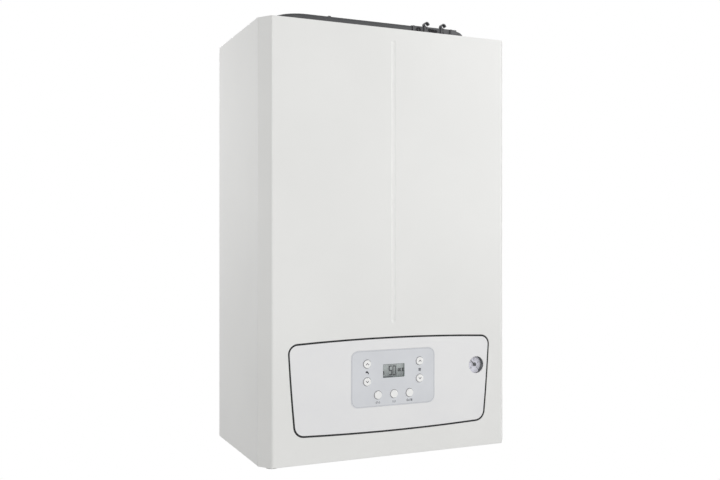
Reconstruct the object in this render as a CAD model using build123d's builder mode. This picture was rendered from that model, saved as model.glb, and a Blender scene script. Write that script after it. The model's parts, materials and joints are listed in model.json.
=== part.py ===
from build123d import *
from math import cos, radians, sin
import os

# A wall-hung combi boiler. Sizes are in millimetres. X is to the right, Y points into the wall and
# Z is up. The origin lies on the wall, midway between the two hanging slots. A "reach" is a distance
# out from the wall, a "height" is measured up from the bottom edge of the casing.

# Casing
casing_width = 450.0
casing_height = 700.0
casing_depth = 254.0
sheet = 1.2                      # steel sheet of the casing
bevel_width = 16.0               # folded front edges of the cover, seen from the front
bevel_depth = 22.5
flange_width = 12.0              # folded flanges of the panels
frame_flange = 30.0              # side flanges of the rear frame
fold_radius = 1.0
flange_relief = 0.5              # free corner between two folded flanges
front_screw_inset = 20.0         # screws behind the seam
rear_screw_reach = 40.0
groove_width = 7.5               # pressed groove down the middle of the cover
groove_depth = 3.0
groove_bottom_height = 217.0
groove_top_height = 681.0

# Hanging slots
hang_drop = 45.0                 # slots below the top of the casing
slot_spacing = 330.0
slot_length = 16.0
slot_width = 9.0

# Dashboard outline, taken at the middle of the dark line round it
panel_top_half = 182.6
panel_top_height = 188.4
panel_top_crown = 5.1            # rise of the bowed top edge
panel_side_bow = 0.9             # outward bow of the sides
panel_bottom_half = 171.5
panel_bottom_height = 44.9
panel_bottom_crown = 3.7
panel_top_corner = 15.0
panel_bottom_corner = 17.0
panel_line = 3.0                 # width of the dark line
panel_gap = 0.8                  # free gap between gasket and cover
fascia_skin = 2.5
fascia_rim = 2.0
fascia_rim_depth = 10.0
gasket_sink = 1.0                # gasket behind the front plane
gasket_depth = 4.0
tilt_axis_height = 71.0
tilt_axis_inset = 6.5            # hinge axis behind the front plane
hinge_pin_radius = 1.5
hinge_fit = 0.05
hinge_lug_radius = 5.5
hinge_lug_thickness = 4.0
hinge_lug_x = 146.0
hinge_arm_thickness = 2.0
hinge_arm_gap = 1.0              # between an arm and its lug
hinge_arm_radius = 3.5
hinge_arm_root = 31.5            # depth of an arm where it stands on the bottom plate
hinge_arm_swing = 27.0           # clear way behind the axis for the lower edge of the dashboard
pin_head = 1.5
pin_head_lip = 1.5
hinge_arm_slope = 10.0
hinge_finger_length = 15.0       # narrow end of an arm behind the axis
hinge_finger_drop = 2.5
hinge_throat_drop = 14.0
lug_root_rise = 4.0
lug_slot_width = 22.0            # openings in the rim where the arms pass
lug_slot_height = 14.0
lug_slot_shift = 3.0

# Keypad
keypad_half_width = 76.0
keypad_bottom = 82.0
keypad_top = 174.0
keypad_corner = 12.0
keypad_thickness = 1.0
keypad_recess = 0.8
keypad_fit = 0.2
button_radius = 6.5
button_gap = 0.6
button_proud = 1.6
button_travel = 1.2
button_flange_radius = 7.8
button_flange = 1.2
button_stem_radius = 2.5
button_stop_gap = 0.2            # left between stem and switch when a button is pressed home
button_edge = 0.8
button_places = {
    "left_up_button": (-48.0, 152.3),
    "left_down_button": (-48.0, 123.6),
    "right_up_button": (48.0, 152.3),
    "right_down_button": (48.0, 123.6),
    "reset_button": (-28.5, 101.0),
    "info_button": (0.5, 101.0),
    "mode_button": (29.0, 101.0),
}
display_width = 39.4
display_height = 22.2
display_mid = 139.1
display_lip = 1.1
display_glass = 1.4
display_corner = 1.5
display_fit = 0.1
display_sink = 0.3               # glass behind the front of the film
display_module_lip = 1.0

# Pressure gauge
gauge_x = 157.5
gauge_height = 139.4
gauge_window_radius = 14.4
gauge_glass_radius = 15.4
gauge_glass_fit = 0.2
gauge_glass_thickness = 1.2
gauge_body_radius = 17.0
gauge_body_depth = 20.0
gauge_bore_radius = 15.5
gauge_dial_depth = 5.5           # dial face behind the back of the fascia skin
needle_length = 11.5
needle_tail = 4.5
needle_thickness = 0.8
needle_hub_radius = 2.2
needle_spindle_radius = 0.8
needle_fit = 0.05
needle_half_width = 1.1
needle_taper = 0.25              # tip as a share of the tail's width
needle_lift = 1.2                # needle in front of the dial
needle_hub_lift = 0.3
needle_hub_length = 2.8
needle_cap_radius = 1.7
needle_spindle_depth = 9.0
needle_spindle_root = 1.0
gauge_edge = 2.0
gauge_spindle_bore = 10.0
gauge_inlet_radius = 4.0
gauge_inlet_length = 8.0
needle_angle = 135.0             # rest reading, anticlockwise from +X seen from the front

# Control box and circuit board
box_half_width = 134.0
box_bottom = 60.0
box_top = 176.0
box_depth = 47.5
box_wall = 2.0
box_corner = 8.0
box_edge = 3.0
box_post_radius = 4.0
box_post_inset = 8.0
cable_slot_count = 5
cable_slot_pitch = 44.0
cable_slot_length = 26.0
cable_slot_width = 9.0
cable_slot_rise = 18.0           # above the box's lower edge
box_rib_count = 7
box_rib_pitch = 36.0
box_rib_width = 3.0
box_rib_length = 44.0
box_rib_drop = 30.0              # below the box's upper edge
box_rib_height = 1.5
board_half_width = 128.0
board_bottom = 68.0
board_top = 168.0
board_thickness = 1.6
board_inset = 16.0               # board face behind the front plane
switch_size = 6.0
switch_height = 3.3
switch_plunger_radius = 1.7
switch_plunger = 1.0
transformer_x = -96.0
transformer_height = 120.0
transformer_width = 34.0
transformer_length = 42.0
transformer_depth = 22.0
relay_x = -36.0
relay_height = 146.0
relay_pitch = 22.0
relay_count = 3
relay_width = 18.0
relay_length = 12.0
relay_depth = 15.0
socket_width = 24.0
socket_length = 8.0
socket_depth = 12.0
capacitor_places = ((60.0, 120.0), (84.0, 120.0), (60.0, 148.0), (84.0, 148.0))
capacitor_radius = 6.0
capacitor_length = 18.0

# Top hood and cable bracket
hood_half_width = 182.0
hood_setback = 25.5              # front of the hood behind the seam
hood_back_reach = 18.0
hood_height = 22.5
hood_corner = 50.0
hood_wall = 2.5
hood_rim = 3.0
hood_draft = 4.0                 # degrees
hood_top_radius = 5.0
hood_collar_gap = 2.0
hood_collar_drop = 1.0
cut_over = 10.0                  # how far a cut runs past the piece
notch_left = 58.0                # bay in the hood's front edge that holds the bracket
notch_right = 148.0
notch_depth = 26.0
bracket_gap = 0.3
bracket_wall = 3.0
bracket_setback = 2.0
bracket_hole_inset = 12.0
bracket_hole_height = 11.0
bracket_hole_radius = 3.0
bracket_slots = ((104.0, 12.0), (116.0, 11.0))
bracket_slot_width = 7.0
bracket_slot_height = 5.0
bracket_slot_corner = 1.5
bracket_notches = ((100.0, 3.0), (121.0, 3.0))
bracket_notch_width = 5.0
bracket_notch_height = 4.0
bracket_foot = 6.0
bracket_foot_thickness = 2.0
bracket_rib = 3.0
bracket_rib_inset = 4.0
bracket_peg_x = 136.0
hook_mouth = 12.0
hook_mouth_over = 3.0
hook_radius = 5.3
hook_wall = 2.2
hook_places = (88.0, 121.0)
hook_depth = 8.0
hook_lift = 3.2                  # hook centre above the hood's top

# Flue
flue_reach = 115.0
flue_radius = 30.0
flue_wall = 1.5
flue_drop_x = -145.0
flue_run_height = 650.0
collar_radius = 50.0
collar_height = 24.0
collar_flange = 62.0
collar_flange_thickness = 2.0
flue_bend = 33.0

# Expansion vessel
vessel_width = 300.0
vessel_height = 320.0
vessel_bottom = 300.0
vessel_corner = 60.0
vessel_edge = 22.0
vessel_wall = 1.5
vessel_seam = 4.0
vessel_port_x = 85.0
vessel_seam_width = 6.0
vessel_port_size = 9.0
vessel_port_drop = 12.0
vessel_port_length = 20.0
bead_depth = 4.0
bead_x = 90.0
bead_width = 24.0

# Heat exchanger, burner and sump
exchanger_x = -15.0
exchanger_width = 180.0
exchanger_gap = 19.8             # between the vessel and the exchanger
exchanger_depth = 110.0
exchanger_bottom = 345.0
exchanger_height = 200.0
exchanger_flange = 6.0
exchanger_flange_height = 8.0
exchanger_side_flange = 5.0
exchanger_corner = 12.0
exchanger_rib = 4.0
exchanger_rib_count = 7
chamber_width = 140.0
chamber_depth = 60.0
chamber_height = 110.0
chamber_corner = 8.0
hook_strap_width = 25.0
strap_thickness = 2.0
strap_left_inset = 20.0
strap_right_inset = 15.0
strap_gap = 10.0                 # between the vessel and the straps
strap_hook_drop = 30.0
boss_wall = 3.0
boss_length = 8.0
door_thickness = 12.0
plenum_height = 40.0
plenum_margin = 8.0
plenum_corner = 12.0
plenum_draft = 6.0               # degrees
plenum_edge = 6.0
plenum_wall = 5.0
plenum_roof = 8.0
neck_bend = 30.0
neck_throat = 8.0
neck_root = 2.0
neck_left = 34.0
neck_right = 70.0
neck_wall = 3.0
burner_radius = 20.0
burner_length = 120.0
burner_drop = 26.0               # axis below the door
burner_wall = 1.5
burner_neck_depth = 24.0
burner_neck_corner = 4.0
burner_neck_drop = 12.0
burner_neck_wall = 3.0
burner_flange_gap = 1.0
burner_flange = 2.0
electrode_offset = 41.0
electrode_drop = 22.0
electrode_plate_width = 34.0
electrode_plate_height = 20.0
electrode_plate_corner = 4.0
electrode_plate = 3.0
electrode_half_pitch = 7.0
electrode_radius = 3.5
electrode_length = 20.0
sump_height = 45.0
sump_side_gap = 16.8             # between the sump and the side panel
sump_wall = 3.0
sump_edge = 3.0
sump_wing_depth = 76.0
sump_wing_corner = 16.0
sump_lid_side = 8.0
sump_lid_edge = 5.0
trap_side_gap = 16.8             # between the trap and the side panel
trap_shift = 15.0                # trap in front of the sump's middle
trap_radius = 27.0
trap_height = 110.0
trap_tail_radius = 10.5
trap_tail_wall = 2.0
trap_edge = 5.0
trap_ring_drops = (14.0, 34.0, 84.0)
trap_ring_lip = 2.0
trap_ring = 4.0

# Fan, mixer, silencer and gas line
fan_x = 140.0
fan_height = 620.0
fan_thickness = 50.0
fan_wall = 2.5
scroll_radius = 48.5             # first quarter of the scroll
scroll_step = 3.0
scroll_tongue = 2.0
outlet_height = 38.0
outlet_x = 80.0
inlet_radius = 24.0
impeller_radius = 43.0
impeller_width = 36.0
impeller_plate = 2.0
impeller_shroud = 1.5
impeller_eye_lip = 2.0
impeller_hub_radius = 11.0
impeller_hub_inset = 8.0
impeller_hub_draft = -8.0        # degrees
blade_count = 16
blade_thickness = 1.6
blade_root_gap = 1.0
blade_middle_inset = 10.0        # inwards of the impeller's edge
blade_middle_sweep = 5.0         # along its turn
blade_tip_inset = 3.0
blade_tip_sweep = 13.0
shaft_radius = 3.0
shaft_fit = 0.05
motor_radius = 42.0
motor_depth = 32.0
motor_boss_gap = 3.0
motor_ear_count = 3
motor_ear_radius = 6.0
motor_ear_turn = 30.0            # degrees
motor_flange = 3.0
motor_edge = 8.0
motor_vent_count = 12
motor_vent_inset = 16.0
motor_vent_depth = 6.0
motor_vent_length = 9.0
motor_vent_width = 4.0
motor_vent_corner = 1.5
motor_plug_sink = 5.0
motor_plug_width = 16.0
motor_plug_height = 24.0
motor_plug_length = 14.0
motor_plug_corner = 2.0
mixer_gap = 4.8                  # between the vessel and the mixer
mixer_setback = 26.0             # axis of the mixer behind the fan
mixer_radius = 19.0
mixer_wall = 3.0
mixer_flange_lip = 9.0
mixer_flange = 3.0
mixer_port_sink = 2.0
mixer_port_length = 8.0
mixer_bottom = 538.0
silencer_width = 70.0
silencer_depth = 36.0
silencer_height = 130.0
silencer_corner = 8.0
silencer_edge = 5.0
silencer_wall = 3.0
silencer_roof = 8.0
silencer_ribs = (25.0, 55.0, 85.0, 110.0)
silencer_rib = 3.0
silencer_rib_lip = 1.5
gas_valve_x = 130.0
gas_valve_shift = 66.0           # valve in front of the mixer
gas_valve_bottom = 430.0
gas_valve_size = 60.0
gas_valve_height = 70.0
gas_valve_corner = 6.0
gas_valve_edge = 3.0
gas_valve_step = 6.0
gas_boss_size = 16.0
gas_boss_height = 8.0
coil_offsets = (-14.0, 16.0)
coil_rise = 42.0
coil_radius = 12.0
coil_length = 22.0
coil_edge = 2.0
adjuster_rise = 18.0
adjuster_radius = 7.0
adjuster_length = 9.0
gas_lower_bend_height = 215.0
gas_upper_bend_height = 290.0
gas_root = 2.0
gas_feed_bend = 14.0
gas_feed_sink = 6.0
gas_radius = 9.0
gas_bend = 30.0
gas_feed_radius = 6.0
gas_feed_height = 550.0

# Water circuit
pipe_room = 94.0                 # between the row of stubs and the control box
stub_drop = 22.0                 # stubs below the casing
big_stub = 13.2                  # 3/4 inch connections
small_stub = 10.5                # 1/2 inch connections
flow_x = -130.0
hot_x = -65.0
gas_x = 0.0
cold_x = 65.0
return_x = 130.0
stub_relief = 1.0                # thread run-out under the casing
stub_wall = 3.0
stub_edge = 1.0
stub_bore = 42.0                 # depth of a stub's bore
nut_height = 14.0
nut_inset = 1.0                  # nut inside the edge of its grommet
grommet_lip = 3.0
grommet_flange = 6.0
grommet_fit = 0.2
grommet_groove_fit = 0.1
manifold_bottom = 35.0
manifold_height = 60.0
manifold_depth = 50.0
manifold_end = 155.0
manifold_inner = 45.0
manifold_corner = 10.0
manifold_edge = 4.0
manifold_nut_lip = 5.0
manifold_nut_height = 8.0
manifold_nut_sink = 2.0
diverter_depth = 36.0
pipe_radius = 9.0
pipe_bend = 15.0
riser_setback = 10.0             # riser behind the row of stubs
riser_x = -135.0
flow_outlet_drop = 25.0          # flow connection below the exchanger's upper edge
pump_x = 140.0
pump_setback = 2.5               # pump behind the row of stubs
pump_height = 165.0
pump_radius = 48.0
pump_width = 45.0
pump_motor_radius = 41.0
pump_motor_length = 62.0
pump_chamber_radius = 34.0
pump_chamber_width = 24.0
pump_port_radius = 17.0
pump_neck_gap = 6.0
pump_edge = 12.0
pump_outlet_inset = 14.0
pump_outlet_radius = 14.0
pump_outlet_rise = 50.0
pump_nut_size = 15.0
pump_nut_height = 12.0
vent_offset = 20.0
vent_radius = 13.0
vent_bottom = 30.0
vent_height = 62.0
vent_edge = 3.0
vent_cap_radius = 5.0
vent_cap_height = 8.0
pump_flange_lip = 4.0
pump_flange = 6.0
pump_screw_pitch = 66.0
pump_screw_boss = 6.0
pump_case_width = 80.0
pump_case_height = 74.0
pump_case_depth = 22.0
pump_case_corner = 12.0
pump_case_edge = 5.0
pump_shaft_bore = 30.0
pump_shaft_length = 28.0
pump_impeller_radius = 31.0
pump_vane_count = 6
pump_vane_start = 12.0
pump_vane_middle_inset = 9.0
pump_vane_middle_sweep = 6.0
pump_vane_tip_inset = 4.5
pump_vane_tip_sweep = 14.0
pump_vane_thickness = 2.0
pump_vane_gap = 4.0
pump_plate = 3.0
pump_shroud = 2.0
pump_eye_radius = 13.0
pump_hub_radius = 7.0
return_inlet_rise = 25.0         # return connection above the exchanger's lower edge
plate_width = 190.0
plate_height = 72.0
plate_bottom = 60.0
plate_back_reach = 32.0
plate_gap = 3.0                  # between the plates and the manifolds
plate_count = 10
plate_corner = 14.0
plate_lip = 2.0
plate_edge_thickness = 1.2
plate_port_inset = 20.0
plate_port_drop = 14.0
plate_port_radius = 9.0
actuator_x = -85.0
actuator_width = 44.0
actuator_depth = 54.0
actuator_height = 66.0
actuator_corner = 6.0
actuator_edge = 4.0
actuator_plug_drop = 20.0
actuator_plug_width = 22.0
actuator_plug_height = 14.0
actuator_plug_length = 8.0
actuator_plug_corner = 2.0
spindle_radius = 3.0
spindle_travel = 5.0
spindle_disc_radius = 11.0
spindle_chamber_radius = 13.0
spindle_low_drop = 24.0          # discs below the manifold's top
spindle_high_drop = 12.0
spindle_disc = 3.0
spindle_top_gap = 2.0            # above the spindle at the end of its travel
safety_gap = 16.5                # between the safety valve and the trap's tail
safety_height = 70.0
safety_radius = 13.0
safety_length = 38.0
safety_nut = 12.0
safety_drain_reach = 20.0
safety_drain_radius = 8.0
safety_drain_drop = 28.0
safety_drain_bore = 5.5
safety_drain_depth = 12.0
safety_knob_length = 12.0
safety_knob_draft = 3.0          # degrees
safety_knob_edge = 2.0
safety_stem_depth = 12.0
safety_stem = 11.0
safety_flutes = 10
safety_flute_radius = 2.0
knob_flute_shift = 0.5
tap_x = 97.5
tap_radius = 13.0
tap_stem_radius = 4.0
tap_clearance = 1.0
tap_gap = 3.0                    # between the knob and the bottom plate
tap_knob_height = 12.0
tap_knob_draft = 4.0             # degrees
tap_knob_edge = 2.0
tap_flutes = 8
tap_flute_radius = 2.5
tap_sleeve_lip = 5.0
tap_sleeve_length = 20.0
tap_sleeve_root = 2.0
tap_bore = 17.0
tap_stem_gap = 1.0               # above the stem in its sleeve
vessel_pipe_radius = 5.0
vessel_pipe_bend = 16.0
vessel_pipe_x = 120.0
vessel_pipe_upper = 240.0
vessel_pipe_middle = 190.0
vessel_pipe_lower = 65.0
lead_radius = 3.5
lead_front = 12.0
lead_gap = 8.3                   # between the ignition lead and the cover
lead_route = ((-85.0, -12.0, 420.0), (-35.0, -6.0, 330.0), (55.0, 0.0, 300.0),
              (92.0, 7.0, 345.0), (90.0, 33.0, 410.0))
lead_bends = (5.0, 40.0, 40.0, 20.0, 30.0, 20.0, 3.0)
lead_end_x = 88.0
lead_end_shift = 20.0
lead_end_rise = 20.0
screw_radius = 2.0
screw_head_radius = 4.0
screw_head = 2.0
screw_fit = 0.1
screw_head_edge = 0.8
screw_length = 4.8

# Worked out from the sizes above
top_z = hang_drop
base_z = top_z - casing_height
mid_z = (top_z + base_z) / 2
half_width = casing_width / 2
inner_x = half_width - sheet
seam_reach = casing_depth - bevel_depth
hood_reach = seam_reach - hood_setback
sump_left = -inner_x + sump_side_gap
trap_x = -inner_x + trap_side_gap + trap_radius
skin_reach = casing_depth - fascia_skin
tilt_reach = casing_depth - tilt_axis_inset
board_reach = casing_depth - board_inset
box_back_reach = skin_reach - box_depth
pipe_reach = box_back_reach - pipe_room
pump_reach = pipe_reach - pump_setback
electrode_reach = casing_depth - sheet - lead_gap - lead_radius - lead_front
electrode_seat = electrode_reach - electrode_length
exchanger_back_reach = electrode_seat - exchanger_rib - exchanger_depth
vessel_reach = sheet + bead_depth
vessel_thickness = exchanger_back_reach - exchanger_gap - vessel_reach
exchanger_top = exchanger_bottom + exchanger_height
exchanger_reach = exchanger_back_reach + exchanger_depth / 2
flue_drop_reach = exchanger_reach
trap_reach = exchanger_reach + trap_shift
safety_x = trap_x + trap_tail_radius + safety_gap + safety_radius
exchanger_left = exchanger_x - exchanger_width / 2
exchanger_right = exchanger_x + exchanger_width / 2
door_top = exchanger_top + door_thickness
return_inlet_height = exchanger_bottom + return_inlet_rise
riser_top = exchanger_top - flow_outlet_drop
mixer_reach = vessel_reach + vessel_thickness + mixer_gap + mixer_radius
gas_valve_reach = mixer_reach + gas_valve_shift
fan_back_reach = mixer_reach + mixer_setback
fan_front_reach = fan_back_reach + fan_thickness
scroll_top = scroll_radius + 3 * scroll_step
manifold_back_reach = pipe_reach - manifold_depth / 2
manifold_front_reach = pipe_reach + manifold_depth / 2
plate_depth = manifold_back_reach - plate_gap - plate_back_reach
manifold_top = manifold_bottom + manifold_height
grommet_top = sheet + grommet_lip
pump_neck = pump_height - pump_radius - pump_neck_gap
riser_reach = pipe_reach - riser_setback
screw_reaches = (seam_reach - front_screw_inset, rear_screw_reach)
electrode_x = exchanger_x - electrode_offset
switch_face = board_reach + switch_height + switch_plunger


def level(height):
    """Z of a height above the bottom edge of the casing."""
    return base_z + height


def panel_face(growth, reach):
    """The dashboard's outline, grown by a width, on the plane at a reach."""
    top = level(panel_top_height) + growth
    bottom = level(panel_bottom_height) - growth
    middle = (top + bottom) / 2
    top_half = panel_top_half + growth
    bottom_half = panel_bottom_half + growth
    side_half = (top_half + bottom_half) / 2 + panel_side_bow
    with BuildSketch(Plane.XZ.offset(reach), mode=Mode.PRIVATE) as outline:
        with BuildLine():
            ThreePointArc((-top_half, top), (0, top + panel_top_crown), (top_half, top))
            ThreePointArc((top_half, top), (side_half, middle), (bottom_half, bottom))
            ThreePointArc((bottom_half, bottom), (0, bottom - panel_bottom_crown), (-bottom_half, bottom))
            ThreePointArc((-bottom_half, bottom), (-side_half, middle), (-top_half, top))
        make_face()
        fillet(outline.vertices().group_by(Axis.Y)[-1], panel_top_corner + growth)
        fillet(outline.vertices().group_by(Axis.Y)[0], panel_bottom_corner + growth)
    return outline.sketch


def pipe(points, radius, bend):
    """A round pipe along straight runs joined by bends."""
    with BuildPart() as tube:
        with BuildLine() as route:
            FilletPolyline(*points, radius=bend)
        with BuildSketch(Plane(origin=route.line @ 0, z_dir=route.line % 0)):
            Circle(radius)
        sweep()
    return tube.part


# --- Casing ---------------------------------------------------------------------------------------

with BuildPart() as rear_frame:
    with BuildSketch(Plane.XZ):
        with Locations((0, mid_z)):
            Rectangle(2 * inner_x, casing_height)
        with GridLocations(slot_spacing, 1, 2, 1):
            SlotOverall(slot_length, slot_width, mode=Mode.SUBTRACT)
    extrude(amount=sheet)
    with BuildSketch(Plane.XY.offset(base_z + 2 * sheet)):
        with Locations((inner_x - sheet / 2, -frame_flange / 2), (-inner_x + sheet / 2, -frame_flange / 2)):
            Rectangle(sheet, frame_flange)
    extrude(amount=casing_height - 4 * sheet)
    with BuildSketch(Plane.XZ.offset(sheet)):
        with Locations((bead_x, level(vessel_bottom + vessel_height / 2)),
                       (-bead_x, level(vessel_bottom + vessel_height / 2))):
            SlotOverall(vessel_height - 2 * vessel_edge, bead_width, rotation=90)
    extrude(amount=bead_depth)
    # two hooked straps pass over the vessel and carry the heat exchanger
    for strap_x in (exchanger_left + strap_left_inset, exchanger_right - strap_right_inset):
        with BuildSketch(Plane.YZ.offset(strap_x - hook_strap_width / 2)):
            with BuildLine():
                strap_top = level(vessel_bottom + vessel_height + strap_gap)
                strap_end = level(exchanger_top - strap_hook_drop)
                strap_back = -exchanger_back_reach + strap_thickness
                Polyline((-sheet, strap_top), (-exchanger_back_reach, strap_top),
                         (-exchanger_back_reach, strap_end), (strap_back, strap_end),
                         (strap_back, strap_top - strap_thickness), (-sheet, strap_top - strap_thickness),
                         close=True)
            make_face()
        extrude(amount=hook_strap_width)


def side_panel(side):
    """A folded side panel: outer sheet with front, top and bottom flanges."""
    with BuildPart() as panel:
        with BuildSketch(Plane.XY.offset(base_z)):
            with Locations((side * (half_width - sheet / 2), -seam_reach / 2)):
                Rectangle(sheet, seam_reach)
        extrude(amount=casing_height)
        outer_edges = panel.edges().filter_by(Axis.Z).group_by(Axis.Y)[0]
        fillet(outer_edges.sort_by(Axis.X)[-1 if side > 0 else 0], fold_radius)
        with BuildSketch(Plane.XZ.offset(seam_reach - sheet)):
            with Locations((side * (inner_x - flange_width / 2), mid_z)):
                Rectangle(flange_width, casing_height - 2 * (sheet + flange_width + flange_relief))
        extrude(amount=sheet)
        for flange_z in (base_z + sheet, top_z - 2 * sheet):
            with BuildSketch(Plane.XY.offset(flange_z)):
                with Locations((side * (inner_x - flange_width / 2), -(seam_reach - sheet) / 2)):
                    Rectangle(flange_width, seam_reach - 3 * sheet)
                with Locations(*[(side * (inner_x - flange_width / 2), -reach) for reach in screw_reaches]):
                    Circle(screw_radius + screw_fit, mode=Mode.SUBTRACT)
            extrude(amount=sheet)
    return panel.part


with BuildPart() as left_side_panel:
    add(side_panel(-1))

with BuildPart() as right_side_panel:
    add(side_panel(1))

screw_places = [(side * (inner_x - flange_width / 2), -reach) for side in (-1, 1) for reach in screw_reaches]

with BuildPart() as top_panel:
    with BuildSketch(Plane.XY.offset(top_z - sheet)):
        with Locations((0, -(seam_reach + sheet) / 2)):
            Rectangle(2 * inner_x, seam_reach - sheet)
        with Locations((0, -flue_reach)):
            Circle(collar_radius, mode=Mode.SUBTRACT)
        with Locations(*screw_places):
            Circle(screw_radius + screw_fit, mode=Mode.SUBTRACT)
    extrude(amount=sheet)
    with BuildSketch(Plane.XZ.offset(seam_reach - sheet)):
        with Locations((0, top_z - sheet - flange_width / 2)):
            Rectangle(2 * inner_x, flange_width)
    extrude(amount=sheet)

stub_places = {flow_x: big_stub, hot_x: small_stub, gas_x: big_stub, cold_x: small_stub, return_x: big_stub}

with BuildPart() as bottom_plate:
    with BuildSketch(Plane.XY.offset(base_z)):
        with Locations((0, -(seam_reach + sheet) / 2)):
            Rectangle(2 * inner_x, seam_reach - sheet)
        for stub_x, stub_radius in stub_places.items():
            with Locations((stub_x, -pipe_reach)):
                Circle(stub_radius + grommet_lip, mode=Mode.SUBTRACT)
        with Locations((trap_x, -trap_reach)):
            Circle(trap_tail_radius + grommet_lip, mode=Mode.SUBTRACT)
        with Locations((tap_x, -pipe_reach)):
            Circle(tap_stem_radius + tap_clearance, mode=Mode.SUBTRACT)
        with Locations(*screw_places):
            Circle(screw_radius + screw_fit, mode=Mode.SUBTRACT)
    extrude(amount=sheet)
    with BuildSketch(Plane.XZ.offset(seam_reach - sheet)):
        with Locations((0, base_z + sheet + flange_width / 2)):
            Rectangle(2 * inner_x, flange_width)
    extrude(amount=sheet)
    # two arms reach forward to the hinge of the dashboard
    arm_x = hinge_lug_x + hinge_lug_thickness / 2 + hinge_arm_gap
    for arm_left in (arm_x, -arm_x - hinge_arm_thickness):
        with BuildSketch(Plane.YZ.offset(arm_left)):
            with BuildLine():
                tilt_z = level(tilt_axis_height)
                arm_front = -tilt_reach + hinge_arm_swing
                arm_back = -seam_reach + hinge_arm_root
                Polyline((arm_front, base_z + sheet), (arm_back, base_z + sheet),
                         (arm_back, tilt_z - hinge_arm_slope),
                         (arm_back - hinge_arm_slope, tilt_z + hinge_arm_radius),
                         (-tilt_reach, tilt_z + hinge_arm_radius), (-tilt_reach, tilt_z - hinge_finger_drop),
                         (-tilt_reach + hinge_finger_length, tilt_z - hinge_finger_drop),
                         (arm_front, tilt_z - hinge_throat_drop), close=True)
            make_face()
            with Locations((-tilt_reach, tilt_z)):
                Circle(hinge_arm_radius)
                Circle(hinge_pin_radius, mode=Mode.SUBTRACT)
        extrude(amount=hinge_arm_thickness)

with BuildPart() as front_cover:
    with BuildSketch(Plane.XY.offset(base_z)) as cover_plan:
        with BuildLine():
            Polyline((-half_width, -seam_reach), (-half_width + bevel_width, -casing_depth),
                     (half_width - bevel_width, -casing_depth), (half_width, -seam_reach), close=True)
        make_face()
    extrude(amount=casing_height)
    with BuildSketch(Plane.XY.offset(base_z + sheet)):
        add(cover_plan.sketch_local)
        offset(amount=-sheet, kind=Kind.INTERSECTION)
    extrude(amount=casing_height - 2 * sheet, mode=Mode.SUBTRACT)
    with BuildSketch(Plane.XZ.offset(seam_reach)):
        with Locations((0, mid_z)):
            Rectangle(2 * (inner_x - flange_width), casing_height - 2 * (sheet + flange_width))
    extrude(amount=sheet, mode=Mode.SUBTRACT)
    with BuildSketch(Plane.XZ.offset(casing_depth)) as groove:
        with Locations((0, level((groove_top_height + groove_bottom_height) / 2))):
            SlotOverall(groove_top_height - groove_bottom_height, groove_width, rotation=90)
    extrude(amount=-sheet, mode=Mode.SUBTRACT)
    with BuildSketch(Plane.XZ.offset(casing_depth - sheet)):
        add(groove.sketch_local)
        offset(amount=sheet)
    extrude(amount=-groove_depth)
    with BuildSketch(Plane.XZ.offset(casing_depth - sheet)):
        add(groove.sketch_local)
    extrude(amount=-groove_depth + sheet, mode=Mode.SUBTRACT)
    extrude(panel_face(panel_line / 2, casing_depth), amount=-sheet, mode=Mode.SUBTRACT)

with BuildPart() as casing_screws:
    for plate_z, outward in ((top_z, 1), (base_z, -1)):
        with BuildSketch(Plane.XY.offset(plate_z)):
            with Locations(*screw_places):
                Circle(screw_head_radius)
        extrude(amount=outward * screw_head)
        with BuildSketch(Plane.XY.offset(plate_z)):
            with Locations(*screw_places):
                Circle(screw_radius)
        extrude(amount=-outward * screw_length)
    chamfer(casing_screws.edges().group_by(Axis.Z)[-1], screw_head_edge)
    chamfer(casing_screws.edges().group_by(Axis.Z)[0], screw_head_edge)

with BuildPart() as pipe_grommets:
    grommet_places = [(x, -pipe_reach, radius) for x, radius in stub_places.items()]
    grommet_places.append((trap_x, -trap_reach, trap_tail_radius))
    for x, y, radius in grommet_places:
        with BuildSketch(Plane.XY.offset(base_z + sheet)):
            with Locations((x, y)):
                Circle(radius + grommet_flange)
                Circle(radius + grommet_fit, mode=Mode.SUBTRACT)
        extrude(amount=grommet_lip)
        with BuildSketch(Plane.XY.offset(base_z + sheet)):
            with Locations((x, y)):
                Circle(radius + grommet_lip - grommet_groove_fit)
                Circle(radius + grommet_fit, mode=Mode.SUBTRACT)
        extrude(amount=-sheet)

# --- Hood, bracket and flue -----------------------------------------------------------------------

with BuildPart() as top_hood:
    hood_mid = -(hood_reach + hood_back_reach) / 2
    hood_depth = hood_reach - hood_back_reach
    with BuildSketch(Plane.XY.offset(top_z)):
        with Locations((0, hood_mid)):
            RectangleRounded(2 * hood_half_width, hood_depth, hood_corner)
    extrude(amount=hood_height, taper=hood_draft)
    top_edges = top_hood.faces().sort_by(Axis.Z)[-1].edges()
    fillet(top_edges, hood_top_radius)
    offset(amount=-hood_wall, openings=top_hood.faces().sort_by(Axis.Z)[0])
    with BuildSketch(Plane.XY.offset(top_z)):
        with Locations((0, hood_mid)):
            RectangleRounded(2 * hood_half_width, hood_depth, hood_corner)
            RectangleRounded(2 * (hood_half_width - hood_wall), hood_depth - 2 * hood_wall,
                             hood_corner - hood_wall,
                             mode=Mode.SUBTRACT)
    extrude(amount=hood_rim)
    with BuildSketch(Plane.XY.offset(top_z)):
        with Locations((0, -flue_reach)):
            Circle(collar_flange + hood_collar_gap)
        with Locations(((notch_left + notch_right) / 2, -hood_reach + notch_depth / 2)):
            Rectangle(notch_right - notch_left, notch_depth)
    extrude(amount=hood_height + cut_over, mode=Mode.SUBTRACT)
    with BuildSketch(Plane.XY.offset(top_z)):
        with Locations((0, -flue_reach)):
            Circle(collar_flange + hood_collar_gap + hood_wall)
            Circle(collar_flange + hood_collar_gap, mode=Mode.SUBTRACT)
    extrude(amount=hood_height - hood_collar_drop)

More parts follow.
